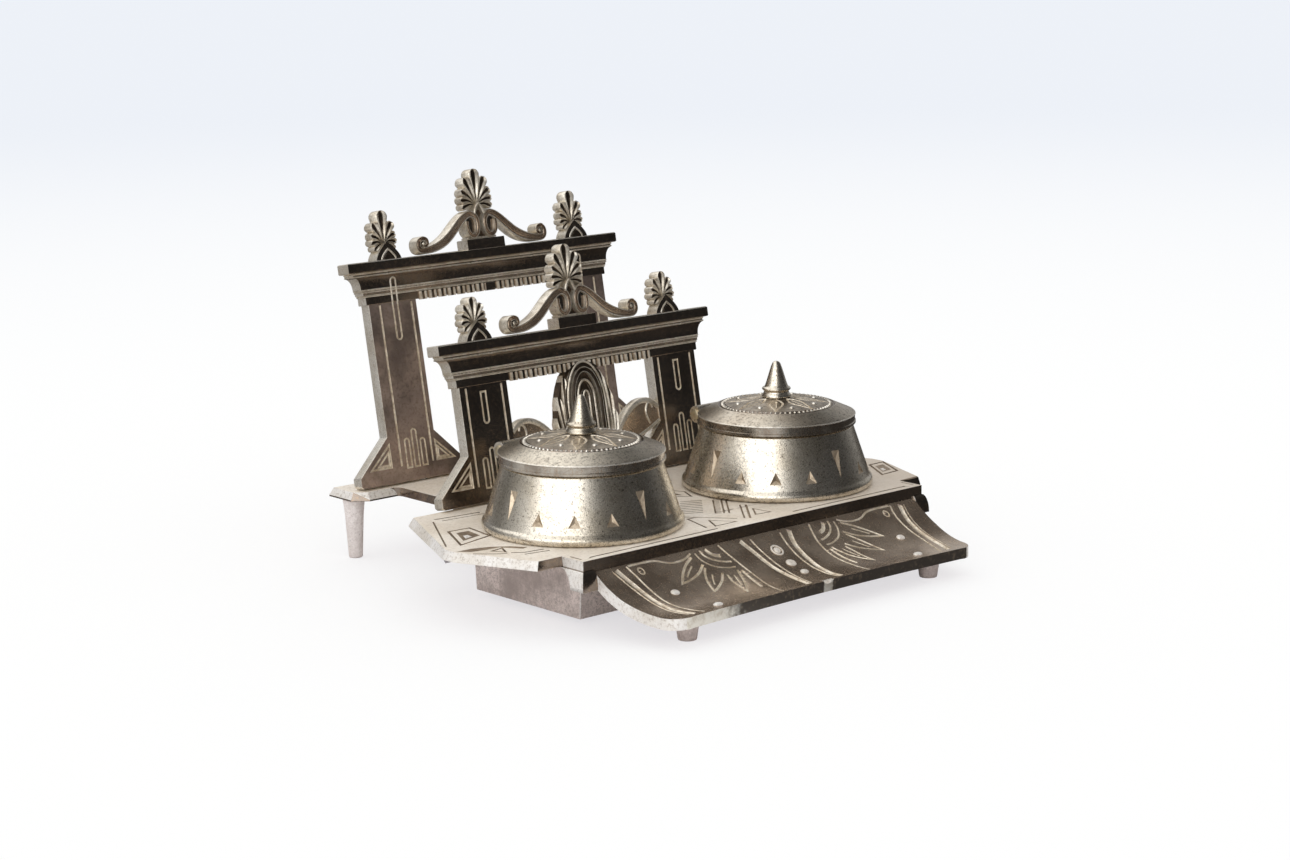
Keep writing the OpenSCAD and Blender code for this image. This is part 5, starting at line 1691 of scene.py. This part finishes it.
def slotted_screw(length, place):
    """Head down with a slot across it, shank up, drawn from the head's face."""
    profile = [
        (0, 0.12), (HEAD_R * 0.7, 0.05), (HEAD_R - 0.35, 0.25), (HEAD_R, 0.65), (HEAD_R, HEAD_H),
        (SHANK_R, HEAD_H), (SHANK_R, length - 0.4), (SHANK_R - 0.4, length), (0, length),
    ]
    screw = turned("screw", profile, [SCREW_STEEL], steps=28, to_layout=place)
    bm = bmesh.new()
    slab(bm, [(-0.45, -1), (0.45, -1), (0.45, 0.75), (-0.45, 0.75)], -6, 6)
    return cut(screw, [finish_mesh(bm, "slot", [SCREW_STEEL], place)])


def box_of(node):
    return (Vector(corner) * 1000 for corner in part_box(node))


def row_of(name, shape, copies, start, length):
    """Copies of a fixing spaced over a length along x."""
    return repeated(name, shape, copies, SCREW_STEEL, start, (length / (copies - 1), 0, 0))


def build_screws():
    low, high = box_of("pot_screws")
    reach = high.x - POT_X - HEAD_R
    parts = []
    for side in SIDES:
        screw = slotted_screw(high.z - low.z, lambda p: local((p[0] + reach, p[1] + reach, p[2] + low.z)))
        parts.append(repeated("screws", screw, 4, SCREW_STEEL, pot_place(side), turn=90))
    hand_over(join_pieces("well_screws", parts), "stand", "steel", "pot_screws")

    low, high = box_of("rack_screws")
    parts = []
    for y in (low.y + HEAD_R, high.y - HEAD_R):
        screw = slotted_screw(high.z - low.z, lambda p: local((p[0], p[1], p[2] + low.z)))
        parts.append(row_of("screws", screw, 2, (low.x + HEAD_R, y, 0), high.x - low.x - 2 * HEAD_R))
    hand_over(join_pieces("foot_bar_screws", parts), "stand", "steel", "rack_screws")

    low, high = box_of("tray_screws")
    back, middle = high.y + MIDDLE_Y, (low.z + high.z) / 2
    screw = slotted_screw(high.y - low.y, lambda p: Vector((p[0], back - p[2], middle + p[1])))
    row = row_of("tray_fixing_screws", screw, 4, (low.x + HEAD_R, 0, 0), high.x - low.x - 2 * HEAD_R)
    hand_over(row, "stand", "steel", "tray_screws")

    low, high = box_of("fascia_pins")
    r = (high.y - low.y) / 2
    profile = [
        (0, low.z), (r - 0.3, low.z), (r, low.z + 0.3), (r, high.z - 0.3), (r - 0.3, high.z), (0, high.z),
    ]
    pin = turned("pin", profile, [SCREW_STEEL], steps=24, to_layout=local)
    row = row_of("fascia_dowels", pin, 3, (low.x + r, (low.y + high.y) / 2, 0), high.x - low.x - 2 * r)
    hand_over(row, "stand", "steel", "fascia_pins")


for hand in SIDES:
    build_box(hand)
    build_support(NAMES[hand] + "_front_foot", NAMES[hand] + "_tray_foot", RAW_SKIN)
    build_support(NAMES[hand] + "_rear_leg", NAMES[hand] + "_rack_leg", LEG_SKIN)
build_screws()


# ---- floor, light and camera ----

BACKDROP, EVEN_LIGHT = (0.765, 0.79, 0.895), (0.98, 0.98, 1.0)
CEILING = (1.5, 0.07)  # from its left to its right
ROUND_STOPS = [
    (0.0, 2.6), (0.12, 2.6), (0.16, 0.66), (0.20, 0.20), (0.24, 0.11), (0.30, 0.055), (0.41, 0.04),
    (0.46, 0.12), (0.53, 0.42), (0.58, 0.50), (0.68, 0.46), (0.76, 0.22), (0.81, 0.16), (0.86, 0.36),
    (0.93, 0.66), (0.965, 1.5), (1.0, 2.6),
]
UP_STOPS = [(0.0, 0.9), (0.45, 0.9), (0.75, 1.0), (1.0, 1.0)]
OVERHEAD_STOPS = [(0.0, 0.0), (0.66, 0.0), (0.84, 1.0), (1.0, 1.0)]


def lay_floor():
    mesh = bpy.data.meshes.new("floor")
    reach = 30.0
    corners = [(-reach, -reach, 0), (reach, -reach, 0), (reach, reach, 0), (-reach, reach, 0)]
    mesh.from_pydata(corners, [], [(0, 1, 2, 3)])
    floor = new_object("floor", mesh)
    r = Recipe("pale_floor")
    length = r.add("ShaderNodeVectorMath", operation="LENGTH")
    r.feed(length.inputs[0], r.place)
    far = r.spread(length.outputs["Value"], 0.25, 2.6)
    pale = r.blend(far, (0.985, 0.985, 0.995), BACKDROP)
    # what polished faces mirror of the floor: pale towards the left of the front, dark to its right
    mirrored_floor = r.blend(r.towards(-0.7, -0.7, -0.02, 0.12), (0.30, 0.29, 0.28), (0.88, 0.87, 0.84))
    mirrored_floor = r.blend(r.towards(0.76, -0.65, 0.045, 0.10), mirrored_floor, (0.06, 0.055, 0.05))
    rays = r.add("ShaderNodeLightPath").outputs
    shown = r.blend(rays["Is Camera Ray"], pale, (0.34, 0.355, 0.325))
    r.set(
        Base_Color=r.blend(rays["Is Glossy Ray"], shown, mirrored_floor),
        Emission_Color=r.blend(far, (0.99, 0.97, 1.0), (0.765, 0.79, 0.905)),
        Emission_Strength=r.spread(rays["Is Camera Ray"], 0, 1, 0, 0.675),
        Roughness=0.9, Specular_IOR_Level=0.0)
    mesh.materials.append(r.material)


def light_room():
    """Even light for colour; what the metal mirrors is a pale room with a dark side in front."""
    world = bpy.data.worlds.new("room")
    bpy.context.scene.world = world
    t = Tree(world, "Generated")

    def background(colour):
        made = t.add("ShaderNodeBackground")
        t.feed(made.inputs["Color"], colour)
        return made.outputs[0]

    def either(ray, a, b):
        made = t.add("ShaderNodeMixShader")
        for socket, value in zip(made.inputs, (ray, a, b)):
            t.feed(socket, value)
        return made.outputs[0]

    axes = t.axes()
    turn = t.spread(t.math("ARCTAN2", axes["Y"], axes["X"]), -math.pi, math.pi, kind="LINEAR")
    height = t.spread(axes["Z"], -1, 1, kind="LINEAR")
    ceiling = t.towards(0.75, -0.66, -0.10, 0.18, *CEILING)
    room = t.blend(t.ramp(height, OVERHEAD_STOPS), t.ramp(turn, ROUND_STOPS), ceiling)
    room = t.blend(1, room, t.ramp(height, UP_STOPS), "MULTIPLY")
    rays = t.add("ShaderNodeLightPath").outputs
    seen = t.math("MAXIMUM", rays["Is Camera Ray"], rays["Is Transmission Ray"])
    lit = either(rays["Is Glossy Ray"], background(EVEN_LIGHT), background(room))
    output = t.add("ShaderNodeOutputWorld")
    t.feed(output.inputs["Surface"], either(seen, lit, background(BACKDROP)))


def set_camera():
    yaw, down, roll = (math.radians(a) for a in (41.36, 11.21, 0.92))
    forward = Vector((math.sin(yaw) * math.cos(down), math.cos(yaw) * math.cos(down), -math.sin(down)))
    right = Vector((math.cos(yaw), -math.sin(yaw), 0))
    below = forward.cross(right)
    level_x = math.cos(roll) * right + math.sin(roll) * below
    level_y = math.sin(roll) * right - math.cos(roll) * below
    data = bpy.data.cameras.new("camera")
    data.sensor_width = 36.0
    data.lens = 72.5
    data.clip_start, data.clip_end = 0.05, 100
    camera = new_object("camera", data)
    aim = Matrix((level_x, level_y, -forward)).transposed().to_4x4()
    camera.matrix_world = Matrix.Translation(metres((-674.94, -699.4, 257.48))) @ aim
    bpy.context.scene.camera = camera


lay_floor()
light_room()
set_camera()
bpy.context.scene.view_settings.view_transform = "Standard"
